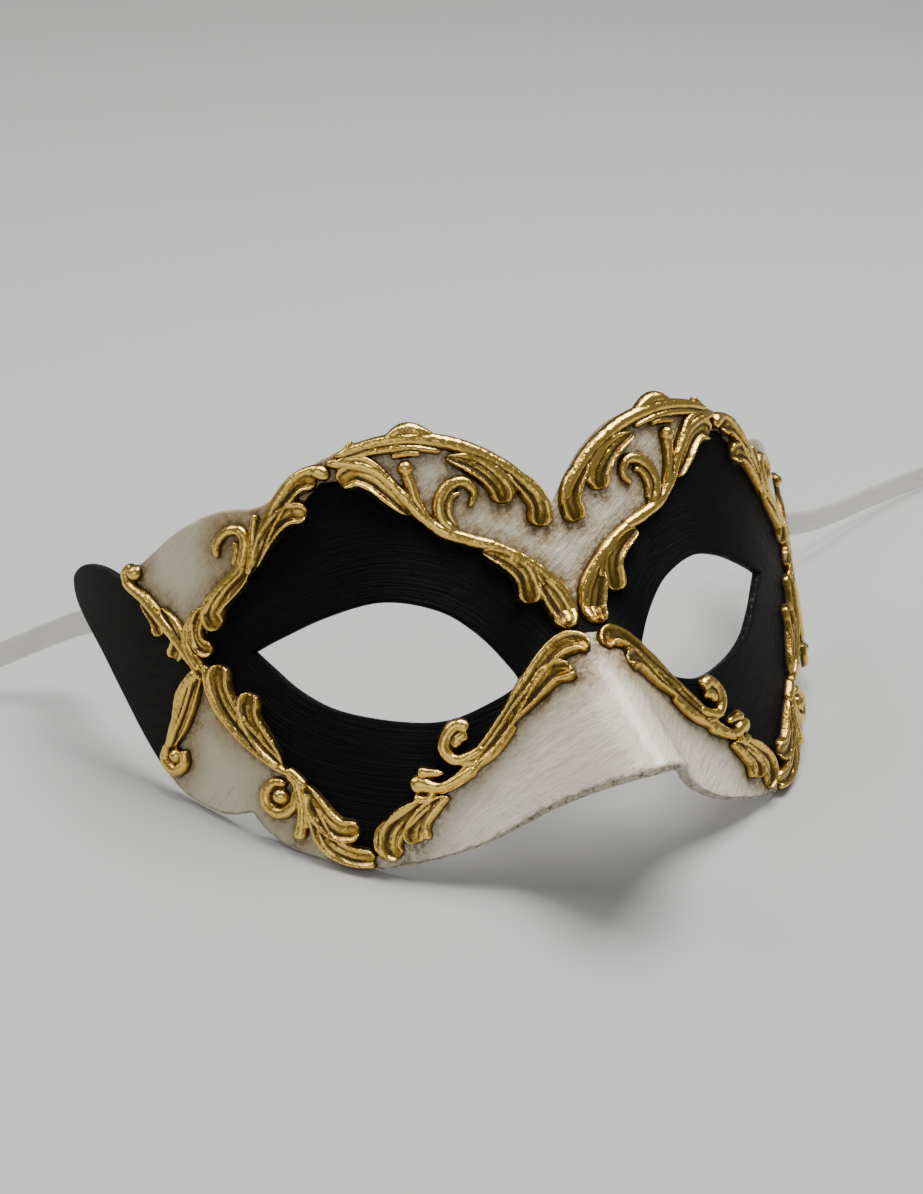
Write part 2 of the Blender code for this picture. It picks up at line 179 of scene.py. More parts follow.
def smooth(points: Sequence[Sequence[float]], steps: int = 6) -> list[Vector]:
    """Run a Catmull-Rom curve through a few points.

    Args:
        points: the points that it passes.
        steps: how many pieces each stretch between two points is cut into.

    Returns:
        The points of the curve.
    """
    knots = [Vector(point) for point in points]
    knots = [2 * knots[0] - knots[1]] + knots + [2 * knots[-1] - knots[-2]]
    curve = []
    for before, start, end, after in zip(knots, knots[1:], knots[2:], knots[3:]):
        for step in range(steps):
            t = step / steps
            curve.append(0.5 * (2 * start + (end - before) * t
                                + (2 * before - 5 * start + 4 * end - after) * t * t
                                + (3 * start - before - 3 * end + after) * t ** 3))
    curve.append(knots[-2])
    return curve


def metres(points: Iterable[Sequence[float]]) -> list[Point2]:
    """Turn millimetres on the pattern into metres."""
    return [(x * MM, y * MM) for x, y in points]


def millimetres(points: Iterable[Sequence[float]]) -> list[Point2]:
    """Turn metres on the pattern into millimetres."""
    return [(x / MM, y / MM) for x, y in points]


def even_steps(curve: Sequence[Vector], count: int) -> list[Vector]:
    """Space points evenly along a curve.

    Args:
        curve: the curve's points.
        count: how many steps to take.

    Returns:
        count + 1 points at equal distances.
    """
    lengths = [0.0]
    for start, end in zip(curve, curve[1:]):
        lengths.append(lengths[-1] + (end - start).length)
    points = []
    piece = 0
    for step in range(count + 1):
        wanted = lengths[-1] * step / count
        while piece < len(curve) - 2 and lengths[piece + 1] < wanted:
            piece += 1
        share = (wanted - lengths[piece]) / (lengths[piece + 1] - lengths[piece])
        points.append(curve[piece].lerp(curve[piece + 1], share))
    return points


def inside_depth(places: np.ndarray, outline: Sequence[Point2]) -> np.ndarray:
    """Measure how deep places lie inside a closed outline.

    Args:
        places: an array of points, one a row.
        outline: the outline's corners, in the same units.

    Returns:
        The distance of each from the outline, negative outside it.
    """
    corners = np.array(outline, float)
    nearest = np.full(len(places), 1e9)
    crossings = np.zeros(len(places), int)
    for start, end in zip(corners, np.roll(corners, -1, axis=0)):
        along = end - start
        share = np.clip((places - start) @ along / max(along @ along, 1e-12), 0, 1)
        gap = np.linalg.norm(places - (start + share[:, None] * along), axis=1)
        nearest = np.minimum(nearest, gap)
        spans = (start[1] > places[:, 1]) != (end[1] > places[:, 1])
        height = along[1] if abs(along[1]) > 1e-12 else 1e-12
        meets = start[0] + (places[:, 1] - start[1]) * along[0] / height
        crossings += spans & (places[:, 0] < meets)
    return np.where(crossings % 2 == 1, nearest, -nearest)


# ---- the flat pattern, in millimetres -----------------------------------------------------

BROW_EDGE = [(0, 20.2), (2.3, 23.3), (6, 27.8), (10, 31.5), (15.3, 34.7), (22, 36.6), (29, 37.4),
             (36, 37), (43.3, 35.2), (47.6, 33.5), (51, 31.8), (54.4, 29.4), (58.8, 28),
             (65, 28.5), (71, 28), (79, 25.6), (88, 21.5), (95.9, 19.5)]
TIP_EDGE = [(95.9, 19.5), (102, 22.2), (108.8, 23.4), (114.4, 22), (115.7, 18.5), (113.6, 14),
            (107.1, 5.6), (101.5, -3), (96.5, -11.5), (92, -18.2), (86.8, -24.2), (81.9, -27.4),
            (76, -30), (69.7, -30.2)]
CHEEK_EDGE = [(69.7, -30.2), (67.4, -33.6), (64, -36.8), (60, -39), (54, -41.7), (45.5, -43.8),
              (34.5, -43.4), (23.3, -40.9), (15, -36.3), (7.9, -32.7), (2, -30.9), (0, -30.8)]
EYE_LENGTH_DRAWN = 49.8
EYE_TOP = [(49.8, 0.5), (43.9, 2.4), (33.3, 5.2), (22.6, 6.2), (12.4, 2.9), (5.8, -2.8),
           (1.1, -9.8), (0, -12.7)]
EYE_BOTTOM = [(0, -12.7), (4.7, -15), (14.1, -17.6), (23.3, -16.6), (34.3, -13), (41.5, -8.2),
              (46.9, -2.6), (49.8, 0.5)]
BLACK_FIELD = [(-1, -1), (2.4, -0.6), (4, 3.4), (8, 8), (11, 11.8), (17, 14), (23, 18), (26, 22),
               (30, 26.5), (35, 31), (41, 30.5), (45, 30.5), (49, 27.3), (57.4, 22), (60.8, 16),
               (68, 11.6), (73, 7.4), (75.6, 0.5), (73.4, -7.6), (68.8, -14.9), (63.2, -21.4),
               (58.6, -25.2), (56, -33), (52, -39.6), (47, -42.2), (44.5, -40.8), (42.4, -36.5),
               (38, -33), (32.4, -31.6), (24, -25.6), (17.6, -20), (11.5, -12.4), (5, -6.6),
               (2.4, -5.6), (-1, -5.2)]
TIP_FIELD = [(97, 30), (93.6, 21), (91.6, 17), (87.7, 13.6), (83.8, 8.7), (80.2, 3.6),
             (77.2, -0.8), (80.6, -5.6), (83.8, -11.4), (86.8, -16), (90.2, -18.8), (95, -24),
             (125, -40), (125, 30)]

Stroke = tuple[list[Point2], tuple[float, float, float], Cut]
LEAF, SCROLL = Cut.LEAF, Cut.SCROLL


def dot(s: float, v: float, width: float) -> Stroke:
    """Draw a round bead on the pattern."""
    return [(s, v)], (width, width, width), Cut.BEAD


RELIEF: dict[str, list[Stroke]] = {
    "crest_rim": [
        ([(41.6, 34.8), (36, 36), (30, 36.4), (24, 35.8), (16.6, 33.4), (9.6, 29.2), (4.8, 24.4),
          (1.4, 19.6)], (1.6, 2.5, 2.0), SCROLL),
        ([(41, 33.8), (34, 34.7), (27, 34.5), (20.4, 32.8)], (1.0, 1.5, 0.9), SCROLL),
        ([(31.4, 36.6), (26.6, 38), (21.2, 35.8)], (1.0, 2.6, 1.0), SCROLL),
        ([(20.2, 31.8), (15.2, 29.4), (12, 26.4), (10.4, 23.8), (10.4, 21.2)],
         (1.4, 3.6, 5.0), LEAF),
        ([(17.4, 32.4), (11.4, 28.8), (8.6, 25.4), (8.0, 22.4)], (0.9, 1.7, 1.1), SCROLL),
        ([(8.4, 27.6), (4.8, 23.4), (3.4, 20), (4, 15.8)], (1.8, 4.0, 5.2), LEAF),
        ([(30.8, 33.2), (27.6, 33.4), (24.6, 33)], (0.9, 1.3, 0.9), SCROLL),
        ([(39.8, 35.2), (38.4, 36.6), (37.4, 37.4)], (1.1, 1.0, 0.7), SCROLL),
    ],
    "brow_spray": [
        ([(43.4, 34), (38.8, 33), (34.1, 31), (30.3, 26.6), (27.4, 22), (23.8, 17.8)],
         (1.8, 2.2, 1.8), SCROLL),
        ([(41, 34.2), (35.8, 33.6), (32.2, 30), (29.1, 25)], (1.2, 1.5, 1.0), SCROLL),
        ([(41.4, 29.6), (38.3, 31), (34.6, 29.2), (31.5, 25.6), (28.7, 21.8)],
         (4.6, 4.4, 2.0), LEAF),
        ([(28.2, 30), (27.7, 27), (26.9, 23.6), (24.6, 18.8)], (2.4, 1.7, 1.4), SCROLL),
        dot(28.2, 30.7, 3.4),
    ],
    "forehead_scroll": [
        ([(17.4, 21.4), (15.8, 24.2), (17.4, 26.6), (20.5, 26.2), (22.9, 23.2), (22.8, 19.8),
          (20.5, 16.8)], (0.9, 2.3, 1.8), SCROLL),
        ([(18.2, 24.7), (20.4, 23.8), (21.3, 21), (20.3, 18.2)], (0.8, 1.5, 1.0), SCROLL),
        ([(26.4, 21.6), (23.8, 18.2), (18.9, 15.6), (13.2, 13.4)], (1.6, 2.4, 2.0), SCROLL),
    ],
    "vee_branch": [
        ([(16.4, 14.6), (13.8, 13.5), (9.3, 10.6), (5.3, 7), (2.4, 3.6), (1.2, 0.4)],
         (1.6, 2.2, 1.8), SCROLL),
        ([(16.6, 13), (11.9, 10.3), (9.3, 7), (8.9, 1.4)], (1.6, 3.9, 5.2), LEAF),
        ([(11.8, 11.2), (7.3, 8), (5.9, 4.4)], (1.0, 1.6, 1.1), SCROLL),
        ([(6.4, 6), (4.4, 1.6), (3.3, -1.8), (3.3, -4.4)], (1.8, 4.2, 5.2), LEAF),
        ([(1.7, 2.6), (1.1, -0.6), (1.3, -3.2)], (1.2, 1.6, 1.2), SCROLL),
    ],
    "outer_brow_leaves": [
        ([(60, 17), (57.7, 21.8), (55.3, 25.6), (52.2, 29), (49, 31.2), (45.4, 31.2)],
         (1.4, 3.4, 4.2), LEAF),
        ([(58.6, 22), (54.2, 28), (49.4, 32.4), (44.2, 33.6)], (1.0, 1.7, 1.4), SCROLL),
        ([(60.4, 16.4), (57.9, 20.8), (54.8, 24), (51.4, 25.6), (48.2, 25)],
         (1.6, 3.6, 4.8), LEAF),
        ([(58.6, 27), (59.6, 23.6), (60.7, 19.2), (62.2, 15.2)], (1.2, 1.7, 1.2), SCROLL),
        ([(46.4, 33), (44.4, 32.4), (43.2, 30.8)], (2.2, 2.6, 1.8), SCROLL),
    ],
    "temple_scroll": [
        ([(68.3, 19.4), (67.8, 22.4), (65.5, 24.3), (62.8, 24.2), (61.7, 22), (62.5, 19),
          (64.5, 16.4), (67.5, 14.4), (71.3, 11.6), (74, 8.8)], (1.4, 2.2, 2.0), SCROLL),
        ([(63.9, 22.4), (63.6, 19.9), (65, 17.6)], (0.9, 1.6, 1.0), SCROLL),
        ([(61.8, 17), (63.4, 14.8), (67, 12.2), (70.6, 9.4)], (1.4, 2.6, 2.0), LEAF),
        ([(65.8, 14), (69.4, 11.6), (71.4, 9), (69.8, 6.2)], (1.8, 4.4, 5.4), LEAF),
    ],
    "side_knot": [
        ([(73.2, 10.8), (75.6, 6.6), (75, 3.4), (72.4, 2)], (1.6, 3.0, 3.8), LEAF),
        ([(74.8, 10.6), (78, 5.6), (77.6, 1.5), (75.8, -1.5)], (1.2, 2.4, 1.8), SCROLL),
        ([(76, 8.8), (76.6, 5), (75.6, 1.6)], (1.0, 1.8, 1.2), SCROLL),
    ],
    "temple_upper_spray": [
        ([(77.2, -0.6), (80.4, 4.6), (83.9, 9.4), (87.8, 14.1), (91.8, 17.4), (92.2, 20),
          (89.8, 21.2)], (2.2, 2.4, 1.8), SCROLL),
        ([(84, 12), (81.2, 8.6), (80, 5.4), (82.4, 1.2)], (1.4, 2.6, 4.4), LEAF),
        ([(88.6, 14), (85.4, 9.6), (84.8, 6.2)], (1.2, 2.2, 3.0), LEAF),
        dot(89.6, 19.6, 3.4),
    ],
    "temple_lower_spray": [
        ([(76.8, -1.4), (81.6, -5.2), (84.2, -10.6), (87.6, -15.8)], (2.4, 2.6, 1.8), SCROLL),
        ([(76.6, -2.2), (79.6, -7.6), (82.8, -12), (86.4, -15.4)], (2.0, 2.4, 1.6), LEAF),
        ([(87.4, -14.6), (89, -17.8), (86.6, -20.4), (83.8, -19), (83.7, -16.2)],
         (1.6, 2.2, 2.0), SCROLL),
        dot(85.6, -17.4, 3.2),
    ],
    "cheek_spray": [
        ([(71.4, -0.6), (72.2, -5.2), (70.2, -10.8), (66.2, -16.4), (61, -22)],
         (5.0, 4.2, 1.6), LEAF),
        ([(75, 0), (74.4, -6.9), (70.4, -13.8), (64.7, -19.8), (59.6, -24)],
         (1.6, 2.0, 1.4), SCROLL),
        ([(65.6, -6.8), (66.6, -11.2), (64.7, -16), (61, -21.6)], (4.8, 4.0, 1.6), LEAF),
        ([(68.6, -9.4), (68.6, -12.4), (65.8, -17)], (0.9, 1.5, 1.0), SCROLL),
        ([(77.6, 2), (76.2, -0.6), (75.4, -3.4)], (2.2, 2.8, 2.0), LEAF),
        ([(60.6, -22.4), (58.8, -24.6), (56.8, -26.8)], (1.8, 2.2, 1.8), SCROLL),
    ],
    "cheek_curl": [
        ([(58.8, -26.2), (60, -29.5), (63.1, -30.8), (65.6, -28.9), (65.4, -26.2), (63, -24.7),
          (60.6, -25.6)], (1.8, 2.3, 1.5), SCROLL),
        dot(62.4, -27.6, 3.6),
        ([(60.4, -23), (58.8, -25.6), (58.5, -31.4), (60.1, -36.4)], (2.0, 2.0, 2.6), SCROLL),
    ],
    "cheek_leaf": [
        ([(57.2, -25.8), (54.8, -32), (51.8, -35.4), (47.6, -36)], (1.6, 4.4, 4.2), LEAF),
        ([(56.6, -29), (54.6, -36.8), (50.6, -40.4), (45.6, -41.8)], (1.4, 4.0, 3.4), LEAF),
        ([(57, -27.4), (57.4, -31.4), (58.1, -34.6)], (1.6, 1.8, 1.4), SCROLL),
        ([(55.6, -31.4), (55.2, -37.4), (51, -41.8), (45.6, -43)], (1.0, 1.5, 1.3), SCROLL),
    ],
    "inner_cheek_leaves": [
        ([(33.4, -31.8), (38.4, -34.2), (41.6, -36.8), (42.4, -40), (40.8, -42)],
         (1.4, 4.2, 3.8), LEAF),
        ([(33.8, -31), (39.5, -33.6), (43.9, -36.2), (44.9, -39.4), (43, -42.4)],
         (1.0, 1.6, 1.3), SCROLL),
        ([(31, -31.6), (35.4, -34.6), (37.8, -37.4), (37.7, -40)], (1.4, 3.6, 4.2), LEAF),
        ([(30.4, -31.6), (33.8, -34.2), (35.6, -36.8), (35.4, -39.6)], (1.2, 1.9, 1.5), SCROLL),
    ],
    "lower_scroll": [
        ([(24.8, -20), (27, -18.8), (29.2, -20.4), (30.1, -23), (28.4, -25.3), (25.7, -25),
          (22.6, -23.6)], (2.6, 2.2, 1.8), SCROLL),
        ([(25.2, -20.8), (27.2, -21.4), (28.3, -23.2)], (2.4, 2.0, 1.2), SCROLL),
        ([(35.7, -26.5), (33.1, -27), (30.4, -27.4)], (3.0, 1.7, 0.9), SCROLL),
        ([(37.4, -28.8), (35.2, -28.9), (31.8, -30), (28.4, -29), (24.6, -27.2)],
         (3.8, 2.1, 2.4), SCROLL),
        ([(37.1, -31.2), (34.4, -32), (33, -30)], (2.0, 1.8, 1.4), SCROLL),
        ([(27.8, -26.2), (24, -26.4)], (1.0, 1.5, 1.2), SCROLL),
    ],
    "nose_stem": [
        ([(33, -31), (27.4, -28.4), (22.6, -24), (17.1, -18.4), (12, -12.4), (7, -7.9),
          (3.4, -7), (1.5, -8.8)], (1.8, 3.2, 3.8), LEAF),
        ([(17.6, -16.8), (13.2, -12.6), (9.3, -8.3), (5.1, -5.4), (2, -6)],
         (0.9, 1.5, 1.0), SCROLL),
        ([(19.8, -21.8), (16.7, -18.8), (12.2, -15.2), (8.8, -12.2), (5.2, -11.6)],
         (1.4, 3.0, 4.4), LEAF),
        ([(26, -27.8), (21, -24.6), (16.4, -20.4)], (1.2, 2.0, 1.2), SCROLL),
    ],
}


# ---- shader building ----------------------------------------------------------------------


class Val:
    """A number on a shader socket that takes part in Python arithmetic."""

    def __init__(self, finish: "Nodes", socket: bpy.types.NodeSocket) -> None:
        """Wrap a socket.

        Args:
            finish: the node tree that it belongs to.
            socket: the output that gives the number.
        """
        self.finish = finish
        self.socket = socket

    def _math(self, operation: str, *values: object) -> "Val":
        """Add a Math node on these values."""
        return Val(self.finish, self.finish.node("ShaderNodeMath", {"operation": operation},
                                                 dict(enumerate(values))))

    def __add__(self, other: object) -> "Val":
        """Add."""
        return self._math("ADD", self, other)

    def __radd__(self, other: object) -> "Val":
        """Add, from the right."""
        return self._math("ADD", other, self)

    def __sub__(self, other: object) -> "Val":
        """Take away."""
        return self._math("SUBTRACT", self, other)

    def __rsub__(self, other: object) -> "Val":
        """Take away, from the right."""
        return self._math("SUBTRACT", other, self)

    def __mul__(self, other: object) -> "Val":
        """Multiply."""
        return self._math("MULTIPLY", self, other)

    def __rmul__(self, other: object) -> "Val":
        """Multiply, from the right."""
        return self._math("MULTIPLY", other, self)

    def ramp(self, low: float, high: float) -> "Val":
        """Go smoothly from 0 at low to 1 at high.

        Args:
            low: where it starts.
            high: where it ends.

        Returns:
            The smoothed share.
        """
        return Val(self.finish, self.finish.node(
            "ShaderNodeMapRange", {"interpolation_type": "SMOOTHSTEP"},
            {"Value": self, "From Min": low, "From Max": high}))


class Nodes:
    """The node tree of one material."""

    def __init__(self, name: str) -> None:
        """Start a material with only its Principled BSDF and output.

        Args:
            name: the material's name.
        """
        self.material = bpy.data.materials.new(name)
        self.material.use_nodes = True
        self.tree = self.material.node_tree
        self.surface = self.tree.nodes["Principled BSDF"]

    def node(self, kind: str, settings: Optional[dict] = None, inputs: Optional[dict] = None,
             output: object = 0) -> bpy.types.NodeSocket:
        """Add a node.

        Args:
            kind: the node's type.
            settings: its properties, set first.
            inputs: a value or link for each socket, by name or number.
            output: the output to give back, by name or number.

        Returns:
            The output socket.
        """
        made = self.tree.nodes.new(kind)
        for key, value in (settings or {}).items():
            setattr(made, key, value)
        for key, value in (inputs or {}).items():
            self.set(made.inputs[key], value)
        return made.outputs[output]

    def set(self, socket: bpy.types.NodeSocket, value: object) -> None:
        """Link or fill a socket.

        Args:
            socket: the input.
            value: a Val, an output socket, a colour or a number.
        """
        if isinstance(value, Val):
            value = value.socket
        if isinstance(value, bpy.types.NodeSocket):
            self.tree.links.new(value, socket)
        elif isinstance(value, tuple) and len(socket.default_value) == 4:
            socket.default_value = (*value, 1)
        else:
            socket.default_value = value

    def put(self, name: str, value: object, surface: Optional[bpy.types.Node] = None) -> None:
        """Give a surface's own socket a value or link."""
        self.set((surface or self.surface).inputs[name], value)

    def principled(self) -> bpy.types.Node:
        """Add a second surface."""
        return self.node("ShaderNodeBsdfPrincipled").node

    def blend(self, share: Val, second: bpy.types.Node) -> None:
        """Lay a second surface over the first.

        Args:
            share: where it shows, from 0 to 1.
            second: its Principled BSDF.
        """
        mixed = self.node("ShaderNodeMixShader", {}, {0: share, 1: self.surface.outputs[0],
                                                      2: second.outputs[0]})
        self.tree.links.new(mixed, self.tree.nodes["Material Output"].inputs["Surface"])

    def attribute(self, name: str) -> Val:
        """Read a number that the mesh carries."""
        return Val(self, self.node("ShaderNodeAttribute", {"attribute_name": name}, {}, "Fac"))

    def attribute_vector(self, name: str) -> bpy.types.NodeSocket:
        """Read a vector that the mesh carries."""
        return self.node("ShaderNodeAttribute", {"attribute_name": name}, {}, "Vector")

    def object_place(self, stretch: Point3 = (1, 1, 1)) -> bpy.types.NodeSocket:
        """Read Object coordinates, stretched along the axes."""
        place = self.node("ShaderNodeTexCoord", {}, {}, "Object")
        return self.stretched(place, stretch)

    def stretched(self, place: bpy.types.NodeSocket, stretch: Point3) -> bpy.types.NodeSocket:
        """Multiply a vector by another, part by part."""
        return self.node("ShaderNodeVectorMath", {"operation": "MULTIPLY"},
                         {0: place, 1: stretch})

    def cloud(self, place: bpy.types.NodeSocket, scale: float, detail: float = 3,
              roughness: float = 0.5) -> Val:
        """Add a noise texture.

        Args:
            place: what it is laid on.
            scale: how fine it is.
            detail: how many finer layers it has.
            roughness: how strong they are.

        Returns:
            The noise, from 0 to 1.
        """
        return Val(self, self.node("ShaderNodeTexNoise", {},
                                   {"Vector": place, "Scale": scale, "Detail": detail,
                                    "Roughness": roughness}))

    def mix(self, share: object, first: object, second: object) -> bpy.types.NodeSocket:
        """Blend two colours.

        Args:
            share: how much of the second shows.
            first: a colour or an output.
            second: another.

        Returns:
            The blend.
        """
        return self.node("ShaderNodeMix", {"data_type": "RGBA"},
                         {0: share, 6: first, 7: second}, 2)

    def bump(self, height: Val, depth: float, strength: float = 1.0,
             under: Optional[bpy.types.NodeSocket] = None) -> bpy.types.NodeSocket:
        """Add a Bump node.

        Args:
            height: the pattern.
            depth: how deep it goes, in metres.
            strength: how far it tips the light, from 0 to 1.
            under: a coarser bump below it.

        Returns:
            The normal.
        """
        inputs = {"Height": height, "Distance": depth, "Strength": strength}
        if under is not None:
            inputs["Normal"] = under
        return self.node("ShaderNodeBump", {}, inputs)


@dataclass(frozen=True)
class Lacquer:
    """Black and ivory paint on papier-mache, lined with bare paper."""

    pearl: Colour = (0.87, 0.795, 0.64)
    cream: Colour = (0.63, 0.56, 0.395)
    streak: Colour = (0.56, 0.49, 0.37)
    black: Colour = (0.0018, 0.0022, 0.0026)
    black_stroke: Colour = (0.005, 0.0055, 0.006)
    charcoal: Colour = (0.013, 0.013, 0.0122)
    wash: Colour = (0.33, 0.22, 0.08)
    deep_wash: Colour = (0.13, 0.072, 0.022)
    dirt: Colour = (0.15, 0.105, 0.056)
    paper: Colour = (0.50, 0.46, 0.39)
    paper_fleck: Colour = (0.30, 0.25, 0.18)
    wobble_scale: float = 420
    fine_scale: float = 1500
    grain_scale: float = 900
    blotch_scale: float = 75
    sweep_stretch: Point3 = (30, 260, 1)
    slant_stretch: Point3 = (330, 70, 1)
    slant_angle: float = 0.9
    brush_depth: float = 0.0008
    grain_depth: float = 0.00012
    dark_specular: float = 0.065
    coat_roughness: float = 0.09

    def make(self) -> bpy.types.Material:
        """Build the material from the shell's own attributes.

        Returns:
            The material.
        """
        n = Nodes("black and ivory lacquer")
        place = n.object_place()
        uv = n.node("ShaderNodeUVMap", {"uv_map": "pattern"})
        wobble = n.cloud(place, self.wobble_scale, 3) - 0.5
        fine = n.cloud(place, self.fine_scale, 4, 0.6)
        grainy = n.cloud(place, self.grain_scale, 4, 0.7)
        blotch = n.cloud(place, self.blotch_scale, 4, 0.6)
        eye_mm, relief_mm = n.attribute("eye"), n.attribute("relief")
        depth_mm, rim_mm = n.attribute("depth"), n.attribute("rim")
        low = n.attribute("low")
        strokes = n.cloud(n.attribute_vector("brush"), 1.0, 4, 0.6)
        sweeps = n.cloud(n.stretched(uv, self.sweep_stretch), 3.2, 4, 0.6)
        slanted = n.node("ShaderNodeVectorRotate", {"rotation_type": "Z_AXIS"},
                         {"Vector": uv, "Angle": self.slant_angle})
        slants = n.cloud(n.stretched(slanted, self.slant_stretch), 2.4, 4, 0.6)

        ivory = n.mix(n.attribute("temple").ramp(0.2, 0.9), self.pearl, self.cream)
        ivory = n.mix((slants - 0.5).ramp(-0.02, 0.18) * 0.30, ivory, self.streak)
        ivory = n.mix(blotch.ramp(0.5, 0.75) * 0.3, ivory, self.cream)
        around = (1 - (relief_mm + wobble * 2.0).ramp(-0.2, 6.4)) * (
            0.50 + blotch.ramp(0.3, 0.62) * 0.30 + grainy.ramp(0.42, 0.62) * 0.34)
        ivory = n.mix(around * (1 - low * 0.35), ivory, self.wash)
        close = (1 - (relief_mm + wobble * 1.2).ramp(0.0, 1.3)) * grainy.ramp(0.34, 0.6)
        ivory = n.mix(close * 0.75, ivory, self.deep_wash)
        edge_dirt = 1 - (rim_mm + wobble * 2.2 + (grainy - 0.5) * 1.4).ramp(0.0, 0.9)
        ivory = n.mix(edge_dirt * (0.2 + low * 0.6), ivory, self.dirt)
        speck = fine.ramp(0.62, 0.70) * (1 - rim_mm.ramp(0.5, 5.5)) * low
        ivory = n.mix(speck * 0.7, ivory, self.dirt)
        raw = (1 - (rim_mm + wobble * 0.6).ramp(0.15, 0.6)) * low
        ivory = n.mix(raw, ivory, n.mix(grainy.ramp(0.47, 0.64), self.cream, self.dirt))
        bare = n.mix(fine.ramp(0.42, 0.7), self.paper, self.paper_fleck)
        inner = 1 - depth_mm.ramp(-1.97, -1.7)
        n.put("Base Color", n.mix(inner, ivory, bare))
        rough = 0.04 + slants * 0.17 + around * 0.32
        n.put("Roughness", rough * (1 - inner) + inner * 0.9)
        n.put("Coat Weight", (1 - inner) * (0.34 - around * 0.3))
        n.put("Coat Roughness", self.coat_roughness)
        surface_grain = n.bump(fine + blotch * 1.5, self.grain_depth, 0.6)
        brushed = n.bump(slants + raw * grainy * 1.5, self.brush_depth, 0.9, surface_grain)
        n.put("Normal", brushed)

        dark = n.principled()
        in_tip = (n.attribute("tip") + wobble * 0.8).ramp(-0.12, 0.12)
        ink = n.mix(strokes.ramp(0.50, 0.72), self.black, self.black_stroke)
        slate = n.mix(sweeps.ramp(0.45, 0.75) * 0.6, self.charcoal, self.black_stroke)
        ink = n.mix(in_tip, ink, slate)
        worn = (1 - (eye_mm + wobble * 0.9).ramp(-0.1, 0.3)) * fine.ramp(0.52, 0.66)
        n.put("Base Color", n.mix(worn * 0.25, ink, self.paper_fleck), dark)
        n.put("Roughness", 0.40 + strokes * 0.16 + in_tip * 0.08, dark)
        n.put("Specular IOR Level", self.dark_specular, dark)
        lines = strokes * (1 - in_tip) + sweeps * in_tip * 0.5
        n.put("Normal", n.bump(lines, self.brush_depth, 1.0, surface_grain), dark)
        in_field = (n.attribute("field") + wobble * 0.7).ramp(-0.12, 0.12)
        in_dark = 1 - (1 - in_field) * (1 - in_tip)
        n.blend(in_dark * (1 - inner), dark)
        return n.material


@dataclass(frozen=True)
class Gilding:
    """Bright gold leaf over castings, with a brown wash left in the hollows, and painted shade
    in the hollows and round each casting's foot.
    """

    gold: Colour = (0.90, 0.60, 0.135)
    deep_gold: Colour = (0.28, 0.160, 0.025)
    # The wash colour stands for real patina and for painted shade in the hollows and at the
    # foot.
    wash: Colour = (0.034, 0.019, 0.006)
    patch_scale: float = 260
    smear_scale: float = 520
    fine_scale: float = 1300
    patch_depth: float = 0.00035
    fine_depth: float = 0.00010

    def make(self) -> bpy.types.Material:
        """Build the material from the castings' own attributes.

        Returns:
            The material.
        """
        n = Nodes("gilding")
        place = n.object_place()
        patches = n.cloud(place, self.patch_scale, 4, 0.6)
        fine = n.cloud(place, self.fine_scale, 4, 0.65)
        hollow, rise = n.attribute("hollow"), n.attribute("rise")
        smears = n.cloud(place, self.smear_scale, 4, 0.7)
        rubbed = (rise - hollow * 0.9 + (patches - 0.5) * 0.8).ramp(0.38, 0.86)
        # The groove and foot terms darken the hollows and the casting's foot: partly real
        # patina, partly painted shade.
        groove_patina_and_shade = (hollow + (fine - 0.5) * 0.3 + (smears - 0.5) * 0.35).ramp(0.0, 0.24)
        foot_patina_and_shade = 1 - (rise + (smears - 0.5) * 0.35).ramp(0.05, 0.40)
        tone = n.mix(rubbed, self.deep_gold, self.gold)
        # The stain mixes real smears and patina with painted shade in the hollows and at the
        # foot.
        stain_and_shade = groove_patina_and_shade * 0.78 + foot_patina_and_shade * 1.0 + smears.ramp(0.54, 0.72) * 0.45
        n.put("Base Color", n.mix(stain_and_shade.ramp(0.05, 0.95), tone, self.wash))
        n.put("Metallic", 1 - stain_and_shade.ramp(0.15, 1.1) * 0.55)
        n.put("Roughness", 0.10 + patches * 0.12 + stain_and_shade * 0.36)
        bumped = n.bump(patches, self.patch_depth, 0.5)
        n.put("Normal", n.bump(fine, self.fine_depth, 0.7, bumped))
        return n.material


@dataclass(frozen=True)
class Satin:
    """Thin cream ribbon."""

    cream: Colour = (0.86, 0.84, 0.78)
    shade: Colour = (0.74, 0.70, 0.62)
    warp: Point3 = (60, 9000, 1)
    weft: Point3 = (5200, 300, 1)
    thread_depth: float = 0.00012
    opacity: float = 0.6
    sheen: float = 0.25

    def make(self) -> bpy.types.Material:
        """Build the material on the ribbon's own UV map, in metres.

        Returns:
            The material.
        """
        n = Nodes("cream satin")
        uv = n.node("ShaderNodeUVMap", {"uv_map": "weave"})
        warp = n.cloud(n.stretched(uv, self.warp), 1.0, 2)
        weft = n.cloud(n.stretched(uv, self.weft), 1.0, 2)
        cloth = warp * 0.6 + weft * 0.4
        n.put("Base Color", n.mix(cloth.ramp(0.35, 0.7), self.shade, self.cream))
        n.put("Roughness", 0.36 + weft * 0.2)
        n.put("Alpha", self.opacity)
        n.put("Sheen Weight", self.sheen)
        n.put("Normal", n.bump(cloth, self.thread_depth, 0.6))
        return n.material


@dataclass(frozen=True)
class Card:
    """Brown-white paper of the tabs."""

    light: Colour = (0.58, 0.53, 0.44)
    dark: Colour = (0.42, 0.36, 0.27)
    fibre_stretch: Point3 = (1, 3, 1)
    fibre_scale: float = 900
    fibre_depth: float = 0.00012

    def make(self) -> bpy.types.Material:
        """Build the material with fibres and specks.

        Returns:
            The material.
        """
        n = Nodes("lining paper")
        fibres = n.cloud(n.object_place(self.fibre_stretch), self.fibre_scale, 4, 0.65)
        n.put("Base Color", n.mix(fibres.ramp(0.4, 0.68), self.light, self.dark))
        n.put("Roughness", 0.82 + fibres * 0.14)
        n.put("Normal", n.bump(fibres, self.fibre_depth, 0.7))
        return n.material


